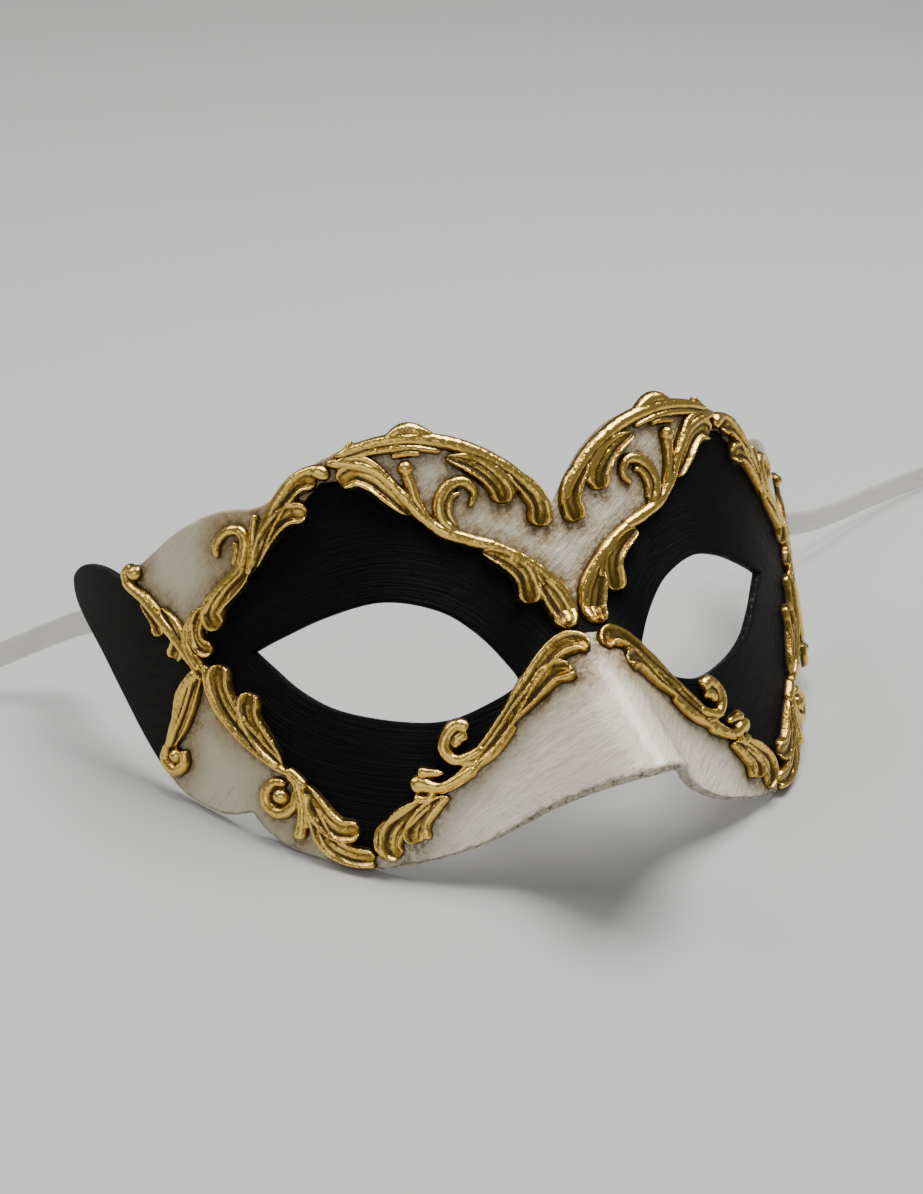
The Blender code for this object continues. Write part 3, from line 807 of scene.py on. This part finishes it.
@dataclass(frozen=True)
class Tabletop:
    """Plain pale table, with painted shade that darkens it further back."""

    tone: Colour = (0.555, 0.557, 0.545)
    # The colour of the painted shade that the table darkens to further back.
    far: Colour = (0.26, 0.262, 0.25)
    specular: float = 0.25

    def make(self) -> bpy.types.Material:
        """Build the material with a faint mottle and painted shade that darkens it further back.

        Returns:
            The material.
        """
        n = Nodes("pale table")
        mottle = n.cloud(n.object_place(), 3, 2)
        depth = Val(n, n.node("ShaderNodeSeparateXYZ", {}, {0: n.object_place()}, "Y"))
        # Painted shade: the table darkens from its tone towards the far colour further from the
        # camera.
        n.put("Base Color", n.mix(depth.ramp(-0.2, 1.2) + mottle * 0.05, self.tone, self.far))
        n.put("Roughness", 0.55 + mottle * 0.05)
        n.put("Specular IOR Level", self.specular)
        return n.material


# ---- meshes -------------------------------------------------------------------------------


def add_object(name: str, data: bpy.types.ID) -> bpy.types.Object:
    """Put new data in the scene as an object.

    Args:
        name: the object's name.
        data: its mesh, curve, light or camera.

    Returns:
        The object.
    """
    thing = bpy.data.objects.new(name, data)
    bpy.context.scene.collection.objects.link(thing)
    return thing


def to_mesh(name: str, shape: bmesh.types.BMesh) -> bpy.types.Mesh:
    """Turn a bmesh into a mesh, and free it.

    Args:
        name: the mesh's name.
        shape: the bmesh.

    Returns:
        The mesh.
    """
    mesh = bpy.data.meshes.new(name)
    shape.to_mesh(mesh)
    shape.free()
    return mesh


def evaluated_mesh(thing: bpy.types.Object) -> bpy.types.Mesh:
    """Return an object's mesh with its modifiers applied."""
    depsgraph = bpy.context.evaluated_depsgraph_get()
    return bpy.data.meshes.new_from_object(thing.evaluated_get(depsgraph))


def flat_plate(outlines: Iterable[Sequence[Point2]], thickness: float,
               rounding: float) -> bmesh.types.BMesh:
    """Cut a flat plate with holes and rounded edges, its top at height 0.

    Args:
        outlines: closed outlines; those inside another are holes.
        thickness: the plate's thickness.
        rounding: the radius of its edges.

    Returns:
        The plate as a welded mesh.
    """
    curve = bpy.data.curves.new("plate", "CURVE")
    curve.dimensions = "2D"
    curve.fill_mode = "BOTH"
    curve.extrude = thickness / 2 - rounding
    curve.bevel_depth = rounding
    curve.bevel_resolution = 2
    curve.offset = -rounding
    for outline in outlines:
        spline = curve.splines.new("POLY")
        spline.points.add(len(outline) - 1)
        for point, place in zip(spline.points, outline):
            point.co = (place[0], place[1], 0, 1)
        spline.use_cyclic_u = True
    flat = add_object("plate", curve)
    plate = bmesh.new()
    plate.from_mesh(evaluated_mesh(flat))
    bpy.data.objects.remove(flat)
    bmesh.ops.remove_doubles(plate, verts=plate.verts, dist=2e-6)
    bmesh.ops.translate(plate, verts=plate.verts, vec=(0, 0, -thickness / 2))
    return plate


def cut_facets(plate: bmesh.types.BMesh, spacing: float, reach: Point2) -> None:
    """Cut a flat plate along a square grid, so that it can bend.

    Args:
        plate: the plate.
        spacing: the grid's spacing.
        reach: how far the grid goes each way, along s and v.
    """
    for axis in (0, 1):
        count = math.ceil(reach[axis] / spacing)
        for number in range(-count, count + 1):
            place, normal = Vector((0, 0, 0)), Vector((0, 0, 0))
            place[axis] = number * spacing
            normal[axis] = 1
            bmesh.ops.bisect_plane(plate, geom=plate.verts[:] + plate.edges[:] + plate.faces[:],
                                   dist=1e-7, plane_co=place, plane_no=normal)


def set_floats(mesh: bpy.types.Mesh, name: str, values: Sequence[float]) -> None:
    """Store one number a vertex on a mesh, under a name."""
    mesh.attributes.new(name, "FLOAT", "POINT").data.foreach_set("value", values)


@dataclass
class Piece:
    """What every piece of the mask shares."""

    seat: Vector

    def stand(self, name: str, mesh: bpy.types.Mesh, material: bpy.types.Material, slot: str,
              *nodes: str) -> bpy.types.Object:
        """Put a finished mesh in the scene in place of its CAD nodes.

        Args:
            name: the piece's name.
            mesh: its mesh, with its place in it.
            material: its finish.
            slot: the record's material slot; not used.
            nodes: the CAD nodes that it stands for.

        Returns:
            The new object.
        """
        mesh.materials.clear()
        mesh.materials.append(material)
        thing = add_object(name, mesh)
        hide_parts(*nodes)
        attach(thing, "root")
        LOG.info("%s: %d faces", name, len(mesh.polygons))
        return thing


@dataclass
class Shell(Piece):
    """The painted papier-mache shell."""

    wall: float = WALL
    rounding: float = 0.00065
    spacing: float = 0.00125
    eye_left: Point2 = (0.0115, 0.0427)
    eye_right: Point2 = (0.0140, 0.0498)
    edge_steps: int = 5
    reach: Point2 = (0.118, 0.046)
    ripple: float = 0.00016
    ripple_shading: float = 4.0
    ripple_limit: float = 0.985
    coarse: float = 60
    fine: float = 190
    fine_share: float = 0.4
    lining_gain: float = 1.6
    lining_drop: float = 0.6
    temple_start: float = 30
    temple_blend: float = 40
    low_start: float = -14
    low_blend: float = 10
    brush_middle: Point2 = (38.0, -5.0)
    brush_spacing: float = 2.1
    brush_turns: float = 2.0

    def eyes(self) -> tuple[tuple[Point2, Side], tuple[Point2, Side]]:
        """Pair each eye's corner and length with its side."""
        return (self.eye_left, Side.LEFT), (self.eye_right, Side.RIGHT)

    def eye_outline(self, eye: Point2, side: Side) -> list[Point2]:
        """Draw an eye opening.

        Args:
            eye: its inner corner's distance from the bridge, and its length.
            side: the side that it is on.

        Returns:
            The closed outline.
        """
        run = [point for edge in (EYE_TOP, EYE_BOTTOM)
               for point in smooth(metres(edge), self.edge_steps)[:-1]]
        stretch = eye[1] / (EYE_LENGTH_DRAWN * MM)
        return [(side.value * (eye[0] + point.x * stretch), point.y) for point in run]

    def outline(self) -> list[Point2]:
        """Draw the whole mask's outline.

        Returns:
            The closed outline.
        """
        half = [point for edge in (BROW_EDGE, TIP_EDGE, CHEEK_EDGE)
                for point in smooth(metres(edge), self.edge_steps)[:-1]]
        bottom = Vector(metres(CHEEK_EDGE)[-1])
        mirrored = [Vector((-point.x, point.y)) for point in reversed(half[1:])]
        return [(point.x, point.y) for point in half + [bottom] + mirrored]

    def even_out(self, mesh: bpy.types.Mesh, flat: np.ndarray) -> None:
        """Give both skins the curved face's own normals, so that their rims shade evenly.

        Args:
            mesh: the wrapped shell.
            flat: each vertex's s, v and h, in metres.
        """
        normals = []
        for vert, (s, v, h) in zip(mesh.vertices, flat):
            outward = FACE.wrap(s, v, MM) - FACE.wrap(s, v, 0)
            if vert.co.z < 1e-5 or -self.wall + 1e-6 < h < -1e-6:
                normals.append(vert.normal)
            else:
                skin = outward.normalized() * (1 if h > -self.wall / 2 else -1)
                normals.append((skin + vert.normal * self.ripple_shading).normalized()
                               if skin.dot(vert.normal) > self.ripple_limit else skin)
        mesh.normals_split_custom_set_from_vertices(normals)

    def carry_zones(self, mesh: bpy.types.Mesh, flat: np.ndarray,
                    castings: "Castings") -> None:
        """Store what the paint follows on the mesh.

        Args:
            mesh: the wrapped shell.
            flat: each vertex's s, v and h, in metres.
            castings: the relief, which the brown wash gathers round.
        """
        places = flat[:, :2] / MM
        mirrored = np.column_stack([np.abs(places[:, 0]), places[:, 1]])
        set_floats(mesh, "field", inside_depth(mirrored, BLACK_FIELD))
        set_floats(mesh, "tip", inside_depth(mirrored, TIP_FIELD))
        eye = np.minimum(*(-inside_depth(places, millimetres(self.eye_outline(size, side)))
                           for size, side in self.eyes()))
        set_floats(mesh, "eye", eye)
        set_floats(mesh, "rim", inside_depth(places, millimetres(self.outline())))
        set_floats(mesh, "depth", flat[:, 2] / MM)
        temple = (mirrored[:, 0] - self.temple_start) / self.temple_blend
        set_floats(mesh, "temple", np.clip(temple, 0, 1))
        low = (self.low_start - places[:, 1]) / self.low_blend
        set_floats(mesh, "low", np.clip(low, 0, 1))
        tree = kdtree.KDTree(len(castings.stations))
        for number, (place, _) in enumerate(castings.stations):
            tree.insert((place.x, place.y, 0), number)
        tree.balance()
        near = []
        for s, v in mirrored:
            _, number, gap = tree.find((s, v, 0))
            near.append(gap - castings.stations[number][1])
        set_floats(mesh, "relief", near)
        across, up = (mirrored - np.array(self.brush_middle)).T
        turn = np.arctan2(up * 2, across)
        brush = np.column_stack([eye * self.brush_spacing, np.cos(turn) * self.brush_turns,
                                 np.sin(turn) * self.brush_turns])
        mesh.attributes.new("brush", "FLOAT_VECTOR", "POINT").data.foreach_set(
            "vector", brush.ravel())
        layer = mesh.uv_layers.new(name="pattern")
        corners = np.zeros(len(mesh.loops), int)
        mesh.loops.foreach_get("vertex_index", corners)
        layer.data.foreach_set("uv", flat[corners, :2].ravel())

    def build(self, castings: "Castings", finish: bpy.types.Material) -> bpy.types.Object:
        """Make the shell.

        Args:
            castings: the relief, which the brown wash gathers round.
            finish: the paint.

        Returns:
            The shell's object.
        """
        holes = [self.eye_outline(size, side) for size, side in self.eyes()]
        plate = flat_plate([self.outline(), *holes], self.wall, self.rounding)
        cut_facets(plate, self.spacing, self.reach)
        bmesh.ops.triangulate(plate, faces=[f for f in plate.faces if len(f.verts) > 4])
        shape = plate.verts.layers.float_vector.new("flat")
        for vert in plate.verts:
            vert[shape] = vert.co
            s, v, h = vert.co
            swell = noise.noise(Vector((s, v, 0.3)) * self.coarse)
            swell += self.fine_share * noise.noise(Vector((s, v, 1.7)) * self.fine)
            if h < -self.wall * 0.6:
                swell = self.lining_gain * swell - self.lining_drop
            vert.co = FACE.wrap(s, v, h + swell * self.ripple) + self.seat
        bmesh.ops.bisect_plane(plate, geom=plate.verts[:] + plate.edges[:] + plate.faces[:],
                               dist=1e-6, plane_co=(0, 0, 0), plane_no=(0, 0, -1),
                               clear_outer=True)
        bmesh.ops.holes_fill(plate, edges=[e for e in plate.edges if e.is_boundary])
        flat = np.array([vert[shape][:] for vert in plate.verts])
        plate.verts.layers.float_vector.remove(shape)
        mesh = to_mesh("shell", plate)
        self.carry_zones(mesh, flat, castings)
        mesh.shade_smooth()
        self.even_out(mesh, flat)
        return self.stand("painted_shell", mesh, finish, "shell", "mask_shell")


@dataclass
class Castings(Piece):
    """The gilt relief: acanthus leaves, scrolls and beads."""

    height: float = 0.00205
    sunk: float = 0.00025
    grain: float = 0.00023
    softening: float = 0.45
    hollow_share: float = 0.35
    sides: int = 32
    rings_per_mm: float = 2.2
    fewest_rings: int = 14
    bead_sides: int = 24
    bead_rings: int = 16
    shortest_end: float = 0.08
    full_width: float = 0.0015
    thin_height: float = 0.62
    lip_place: float = 0.70
    lip_width: float = 0.22
    lip_height: float = 0.62
    far_lip_height: float = 0.46
    trough: float = 0.44
    fold: float = 0.26
    fold_place: float = -0.12
    fold_width: float = 0.17
    scroll_height: float = 0.88
    bead_height: float = 1.1
    fullness: float = 1.22
    lumps: tuple[Point2, ...] = ((900, 0.00007), (320, 0.00013), (1900, 0.00006))
    stations: list[tuple[Vector, float]] = field(default_factory=list)

    def profile(self, cut: Cut, across: float, along: float) -> float:
        """Give a stroke's height across its width.

        Args:
            cut: how the stroke is modelled.
            across: place across it, from -1 to 1.
            along: place along it, from 0 to 1.

        Returns:
            The height, from 0 to about 1.
        """
        crown = math.sqrt(max(0.0, 1 - across ** 4))
        if cut is Cut.LEAF:
            lip = math.exp(-((across - self.lip_place) / self.lip_width) ** 2)
            far_lip = math.exp(-((across + self.lip_place) / self.lip_width) ** 2)
            fold = math.exp(-((across - self.fold_place) / self.fold_width) ** 2)
            return crown * (self.trough + self.lip_height * lip + self.far_lip_height * far_lip
                            + self.fold * fold * math.sin(math.pi * along))
        return math.sqrt(max(0.0, 1 - across ** 2)) * self.scroll_height

    def stroke(self, points: list[Point2], widths: tuple[float, float, float],
               cut: Cut) -> bmesh.types.BMesh:
        """Model one stroke on the flat pattern.

        Args:
            points: what it runs through, in millimetres.
            widths: its width at the start, the middle and the end.
            cut: how it is modelled across.

        Returns:
            The stroke as a closed mesh.
        """
        if cut is Cut.BEAD:
            return self.bead(points[0], widths[1])
        path = smooth(metres(points))
        length = sum((end - start).length for start, end in zip(path, path[1:]))
        rings = max(self.fewest_rings, round(length / MM * self.rings_per_mm))
        stations = even_steps(path, rings)
        body = bmesh.new()
        bmesh.ops.create_uvsphere(body, u_segments=self.sides, v_segments=rings, radius=1)
        reach = min(max(max(widths) * MM / 2 / length, self.shortest_end), 0.5)
        for vert in body.verts:
            ring = round(math.acos(min(max(vert.co.z, -1), 1)) / math.pi * rings)
            along = ring / rings
            turn = math.atan2(vert.co.y, vert.co.x)
            ahead = stations[min(ring + 1, rings)] - stations[max(ring - 1, 0)]
            sideways = Vector((-ahead.y, ahead.x)).normalized()
            start, middle, end = (width * self.fullness * MM / 2 for width in widths)
            near = math.sin(math.pi * along)
            wide = (start if along < 0.5 else end) * (1 - near) + middle * near
            to_end = min(along, 1 - along) / reach
            blunt = math.sqrt(max(0.0, 1 - max(0.0, 1 - to_end) ** 2))
            across = math.cos(turn)
            on_axis = ring in (0, rings)
            offset = 0 if on_axis else wide * blunt * across
            rise = 0.0
            if not on_axis and math.sin(turn) > 0:
                tall = self.thin_height + (1 - self.thin_height) * min(1, wide / self.full_width)
                rise = self.height * tall * math.sqrt(blunt) * self.profile(cut, across, along)
            centre = stations[ring]
            vert.co = (centre.x + sideways.x * offset, centre.y + sideways.y * offset,
                       rise if math.sin(turn) > 0 and not on_axis else -self.sunk)
            if not on_axis and ring % 3 == 0 and abs(across) < 0.05:
                self.stations.append((Vector((centre.x / MM, centre.y / MM, 0)),
                                      wide * blunt / MM))
        bmesh.ops.recalc_face_normals(body, faces=body.faces)
        return body

    def bead(self, middle: Point2, width: float) -> bmesh.types.BMesh:
        """Model the round bead that a scroll ends in.

        Args:
            middle: its place on the pattern, in millimetres.
            width: how wide it is, in millimetres.

        Returns:
            The bead as a closed mesh.
        """
        body = bmesh.new()
        radius = width * MM / 2
        bmesh.ops.create_uvsphere(body, u_segments=self.bead_sides, v_segments=self.bead_rings,
                                  radius=1)
        for vert in body.verts:
            x, y, z = vert.co
            vert.co = (middle[0] * MM + x * radius, middle[1] * MM + y * radius,
                       z * self.height * self.bead_height if z > 0 else -self.sunk)
        self.stations.append((Vector((*middle, 0)), width / 2))
        return body

    def casting(self, name: str, strokes: list[Stroke]) -> bpy.types.Mesh:
        """Fuse a piece's strokes into one casting on the flat pattern.

        Args:
            name: the piece's name.
            strokes: what it is made of.

        Returns:
            The fused mesh.
        """
        joined = bmesh.new()
        for points, widths, cut in strokes:
            part = to_mesh("stroke", self.stroke(points, widths, cut))
            joined.from_mesh(part)
            bpy.data.meshes.remove(part)
        rough = add_object(name, to_mesh(name, joined))
        fuse = rough.modifiers.new("fuse", "REMESH")
        fuse.mode = "VOXEL"
        fuse.voxel_size = self.grain
        fused = evaluated_mesh(rough)
        bpy.data.objects.remove(rough)
        return fused

    def dress(self, flat: bmesh.types.BMesh) -> tuple[list[float], list[float]]:
        """Measure where the gold is rubbed, and where the wash and painted shade gather.

        Args:
            flat: a casting on the flat pattern.

        Returns:
            How hollow each vertex is, and how high it stands, each about 0 to 1.
        """
        hollow = []
        for vert in flat.verts:
            ring = [edge.other_vert(vert).co for edge in vert.link_edges]
            middle = sum(ring, Vector()) / len(ring)
            hollow.append((middle - vert.co).dot(vert.normal) / (self.grain * self.hollow_share))
        for _ in range(2):
            hollow = [0.5 * hollow[vert.index] + 0.5
                      * sum(hollow[edge.other_vert(vert).index] for edge in vert.link_edges)
                      / len(vert.link_edges) for vert in flat.verts]
        return hollow, [vert.co.z / self.height for vert in flat.verts]

    def build(self, finish: bpy.types.Material) -> None:
        """Make every casting, on both sides.

        Args:
            finish: the gilding.
        """
        for name, strokes in RELIEF.items():
            fused = self.casting(name, strokes)
            for side in Side:
                flat = bmesh.new()
                flat.from_mesh(fused)
                bmesh.ops.smooth_vert(flat, verts=flat.verts, factor=self.softening,
                                      use_axis_x=True, use_axis_y=True, use_axis_z=True)
                flat.verts.index_update()
                flat.normal_update()
                hollow, rise = self.dress(flat)
                for vert in flat.verts:
                    s, v, h = side.value * vert.co.x, vert.co.y, vert.co.z
                    if h > 0:
                        h += sum(noise.noise(Vector((s, v, vert.co.z)) * size) * depth
                                 for size, depth in self.lumps)
                    vert.co = FACE.wrap(s, v, h) + self.seat
                if side is Side.RIGHT:
                    bmesh.ops.reverse_faces(flat, faces=flat.faces)
                mesh = to_mesh(f"{name}_{side.word}", flat)
                set_floats(mesh, "hollow", hollow)
                set_floats(mesh, "rise", rise)
                mesh.shade_smooth()
                self.stand(f"gilt_{name}_{side.word}", mesh, finish, "gilding",
                           f"{name}_{side.word}")


@dataclass
class Tabs(Piece):
    """The paper tabs that hold the ribbons' ends."""

    centre: Point2 = (100.5, 8.5)
    length: float = 0.0100
    width: float = 0.0100
    thickness: float = 0.0008
    rounding: float = 0.0001
    glue: float = 0.0004
    wall: float = WALL
    spacing: float = 0.001
    reach: Point2 = (0.118, 0.018)

    def build(self, finish: bpy.types.Material) -> None:
        """Make both tabs.

        Args:
            finish: the paper.
        """
        s, v = (part * MM for part in self.centre)
        corners = [(s + self.length / 2 * x, v + self.width / 2 * y)
                   for x, y in ((-1, -0.7), (-0.7, -1), (0.7, -1), (1, -0.7),
                                (1, 0.7), (0.7, 1), (-0.7, 1), (-1, 0.7))]
        for side in Side:
            tab = flat_plate([corners], self.thickness, self.rounding)
            bmesh.ops.translate(tab, verts=tab.verts, vec=(0, 0, -self.wall - self.glue))
            cut_facets(tab, self.spacing, self.reach)
            FACE.bend(tab, side)
            bmesh.ops.translate(tab, verts=tab.verts, vec=self.seat)
            self.stand(f"paper_tab_{side.word}", to_mesh("tab", tab), finish, "tab",
                       f"ribbon_tab_{side.word}")


RIBBON_ROUTES: dict[Side, list[Point3]] = {
    Side.LEFT: [(0.0743, 0.0456, 0.0206), (0.0750, 0.0512, 0.0192), (0.0772, 0.0562, 0.0172),
                (0.0825, 0.0594, 0.0148), (0.0900, 0.0610, 0.0124), (0.0985, 0.0636, 0.0100),
                (0.1080, 0.0680, 0.0082), (0.1180, 0.0735, 0.0066), (0.1290, 0.0795, 0.0052),
                (0.1400, 0.0848, 0.0041), (0.1500, 0.0887, 0.0035), (0.1606, 0.0914, 0.0034)],
    Side.RIGHT: [(-0.0743, 0.0456, 0.0206), (-0.0750, 0.0512, 0.0192),
                 (-0.0771, 0.0560, 0.0168), (-0.0816, 0.0592, 0.0140),
                 (-0.0880, 0.0608, 0.0112), (-0.0950, 0.0620, 0.0084),
                 (-0.1030, 0.0640, 0.0060), (-0.1110, 0.0668, 0.0042),
                 (-0.1180, 0.0696, 0.0034), (-0.1244, 0.0720, 0.0034)],
}
COIL_MIDDLES: dict[Side, Point2] = {Side.LEFT: (0.1800, 0.0590), Side.RIGHT: (-0.1455, 0.0408)}


@dataclass
class Ribbons(Piece):
    """Two flat ribbons on their edge, each wound up at its far end."""

    width: float = 0.0060
    thickness: float = 0.0003
    length: float = 0.45
    coil_outer: float = 0.0363
    coil_inner: float = 0.0262
    step: float = 0.0015
    turn_steps: int = 60
    lead: float = 0.06
    cup: float = 0.00035
    cup_rate: float = 0.11

    def centreline(self, side: Side) -> list[Vector]:
        """Lay a ribbon's route: the free stretch, then the coil.

        Args:
            side: the side that it leaves.

        Returns:
            Points along it, close together.
        """
        free = smooth(RIBBON_ROUTES[side], 6)
        middle = Vector((*COIL_MIDDLES[side], 0))
        start = free[-1] - middle
        angle = math.atan2(start.y, start.x)
        used = sum((b - a).length for a, b in zip(free, free[1:]))
        mean = (self.coil_outer + self.coil_inner) / 2
        turns = (self.length - used) / (2 * math.pi * mean)
        count = round(turns * self.turn_steps)
        path = free[:-2]
        for number in range(1, count + 1):
            share = number / count
            radius = self.coil_outer + (self.coil_inner - self.coil_outer) * share
            now = angle - side.value * (2 * math.pi * turns * share + self.lead)
            path.append(Vector((middle.x + radius * math.cos(now),
                                middle.y + radius * math.sin(now), free[-1].z)))
        return even_steps(smooth(path, 2), round(self.length / self.step))

    def build(self, finish: bpy.types.Material) -> None:
        """Make both ribbons.

        Args:
            finish: the satin.
        """
        for side in Side:
            line = self.centreline(side)
            strip = bmesh.new()
            strip.loops.layers.uv.new("weave")
            bmesh.ops.create_grid(strip, x_segments=len(line) - 1, y_segments=4, size=0.5,
                                  calc_uvs=True)
            for vert in strip.verts:
                number = round((vert.co.x + 0.5) * (len(line) - 1))
                across = vert.co.y
                ahead = line[min(number + 1, len(line) - 1)] - line[max(number - 1, 0)]
                sideways = Vector((-ahead.y, ahead.x, 0)).normalized()
                cup = self.cup * math.sin(number * self.cup_rate) * (0.25 - across ** 2)
                vert.co = line[number] + Vector((0, 0, across * self.width)) + sideways * cup
            layer = strip.loops.layers.uv.active
            for face in strip.faces:
                for loop in face.loops:
                    loop[layer].uv.x *= self.length
                    loop[layer].uv.y *= self.width
            strip.normal_update()
            bmesh.ops.solidify(strip, geom=strip.faces[:], thickness=self.thickness)
            bmesh.ops.recalc_face_normals(strip, faces=strip.faces)
            mesh = to_mesh("ribbon", strip)
            mesh.shade_smooth()
            ribbon = self.stand(f"satin_ribbon_{side.word}", mesh, finish, "ribbon",
                                f"ribbon_{side.word}", f"ribbon_coil_{side.word}")


# ---- the studio ---------------------------------------------------------------------------


@dataclass(frozen=True)
class Softbox:
    """A square studio light."""

    name: str
    place: Point3
    size: float
    watts: float
    tint: Colour = (1.0, 1.0, 1.0)

    def build(self, target: Vector) -> None:
        """Hang the light, turned to the mask.

        Args:
            target: what it shines on.
        """
        light = bpy.data.lights.new(self.name, "AREA")
        light.shape = "SQUARE"
        light.size = self.size
        light.energy = self.watts
        light.color = self.tint
        lamp = add_object(self.name, light)
        lamp.location = self.place
        lamp.rotation_euler = (target - Vector(self.place)).to_track_quat("-Z", "Y").to_euler()


@dataclass
class Studio:
    """Table, lights and camera."""

    table_size: float = 8.0
    sky: Colour = (0.80, 0.82, 0.84)
    sky_strength: float = 0.27
    target: Vector = field(default_factory=lambda: Vector((0.0, 0.0, 0.03)))
    lights: tuple[Softbox, ...] = (
        Softbox("overhead", (0.25, 0.18, 0.88), 0.56, 12.0),
        Softbox("window", (-0.45, 0.50, 0.70), 0.50, 3.2, (1.0, 0.99, 0.97)),
        Softbox("front_fill", (-0.60, -0.80, 0.55), 0.9, 2.4, (0.97, 0.98, 1.0)),
    )
    camera_place: Point3 = (-0.1927, -0.3916, 0.2728)
    camera_right: Point3 = (0.9215, -0.3851, 0.0491)
    camera_up: Point3 = (0.1431, 0.4546, 0.8791)
    camera_lens: float = 75.38

    def build(self) -> None:
        """Set up everything round the mask."""
        floor = bmesh.new()
        bmesh.ops.create_grid(floor, x_segments=1, y_segments=1, size=self.table_size / 2)
        mesh = to_mesh("table", floor)
        mesh.materials.append(Tabletop().make())
        add_object("table", mesh)
        world = bpy.data.worlds.new("studio")
        world.use_nodes = True
        background = world.node_tree.nodes["Background"]
        background.inputs["Color"].default_value = (*self.sky, 1)
        background.inputs["Strength"].default_value = self.sky_strength
        bpy.context.scene.world = world
        for light in self.lights:
            light.build(self.target)
        lens = bpy.data.cameras.new("camera")
        lens.lens = self.camera_lens
        lens.clip_start = 0.01
        camera = add_object("camera", lens)
        right, up = Vector(self.camera_right).normalized(), Vector(self.camera_up).normalized()
        turn = Matrix((right, up, right.cross(up))).transposed().to_4x4()
        camera.matrix_world = Matrix.Translation(self.camera_place) @ turn
        bpy.context.scene.camera = camera


def find_seat(wall: float = WALL) -> Vector:
    """Find how far the wrapped pattern moves to stand where the CAD shell stands.

    Args:
        wall: the shell's thickness.

    Returns:
        The move.
    """
    low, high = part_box("mask_shell")
    rim = [FACE.wrap(s * MM, v * MM, h) for s, v in TIP_EDGE + BROW_EDGE for h in (0, -wall)]
    back = max(point.y for point in rim)
    nose = min(FACE.wrap(0, v * MM, 0).y for v in (-30.8, -30.0))
    top = max(FACE.wrap(s * MM, v * MM, 0).z for s, v in smooth(BROW_EDGE, 12))
    return Vector((0, (low.y - nose + high.y - back) / 2, high.z - top))


def main() -> None:
    """Build the mask and its studio."""
    logging.basicConfig(level=logging.INFO, format="%(name)s: %(message)s")
    for thing in list(bpy.data.objects):
        bpy.data.objects.remove(thing)
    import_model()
    seat = find_seat()
    LOG.info("seat %s", [round(part, 5) for part in seat])
    Studio().build()
    Ribbons(seat).build(Satin().make())
    Tabs(seat).build(Card().make())
    castings = Castings(seat)
    castings.build(Gilding().make())
    Shell(seat).build(castings, Lacquer().make())


if __name__ == "__main__":
    main()
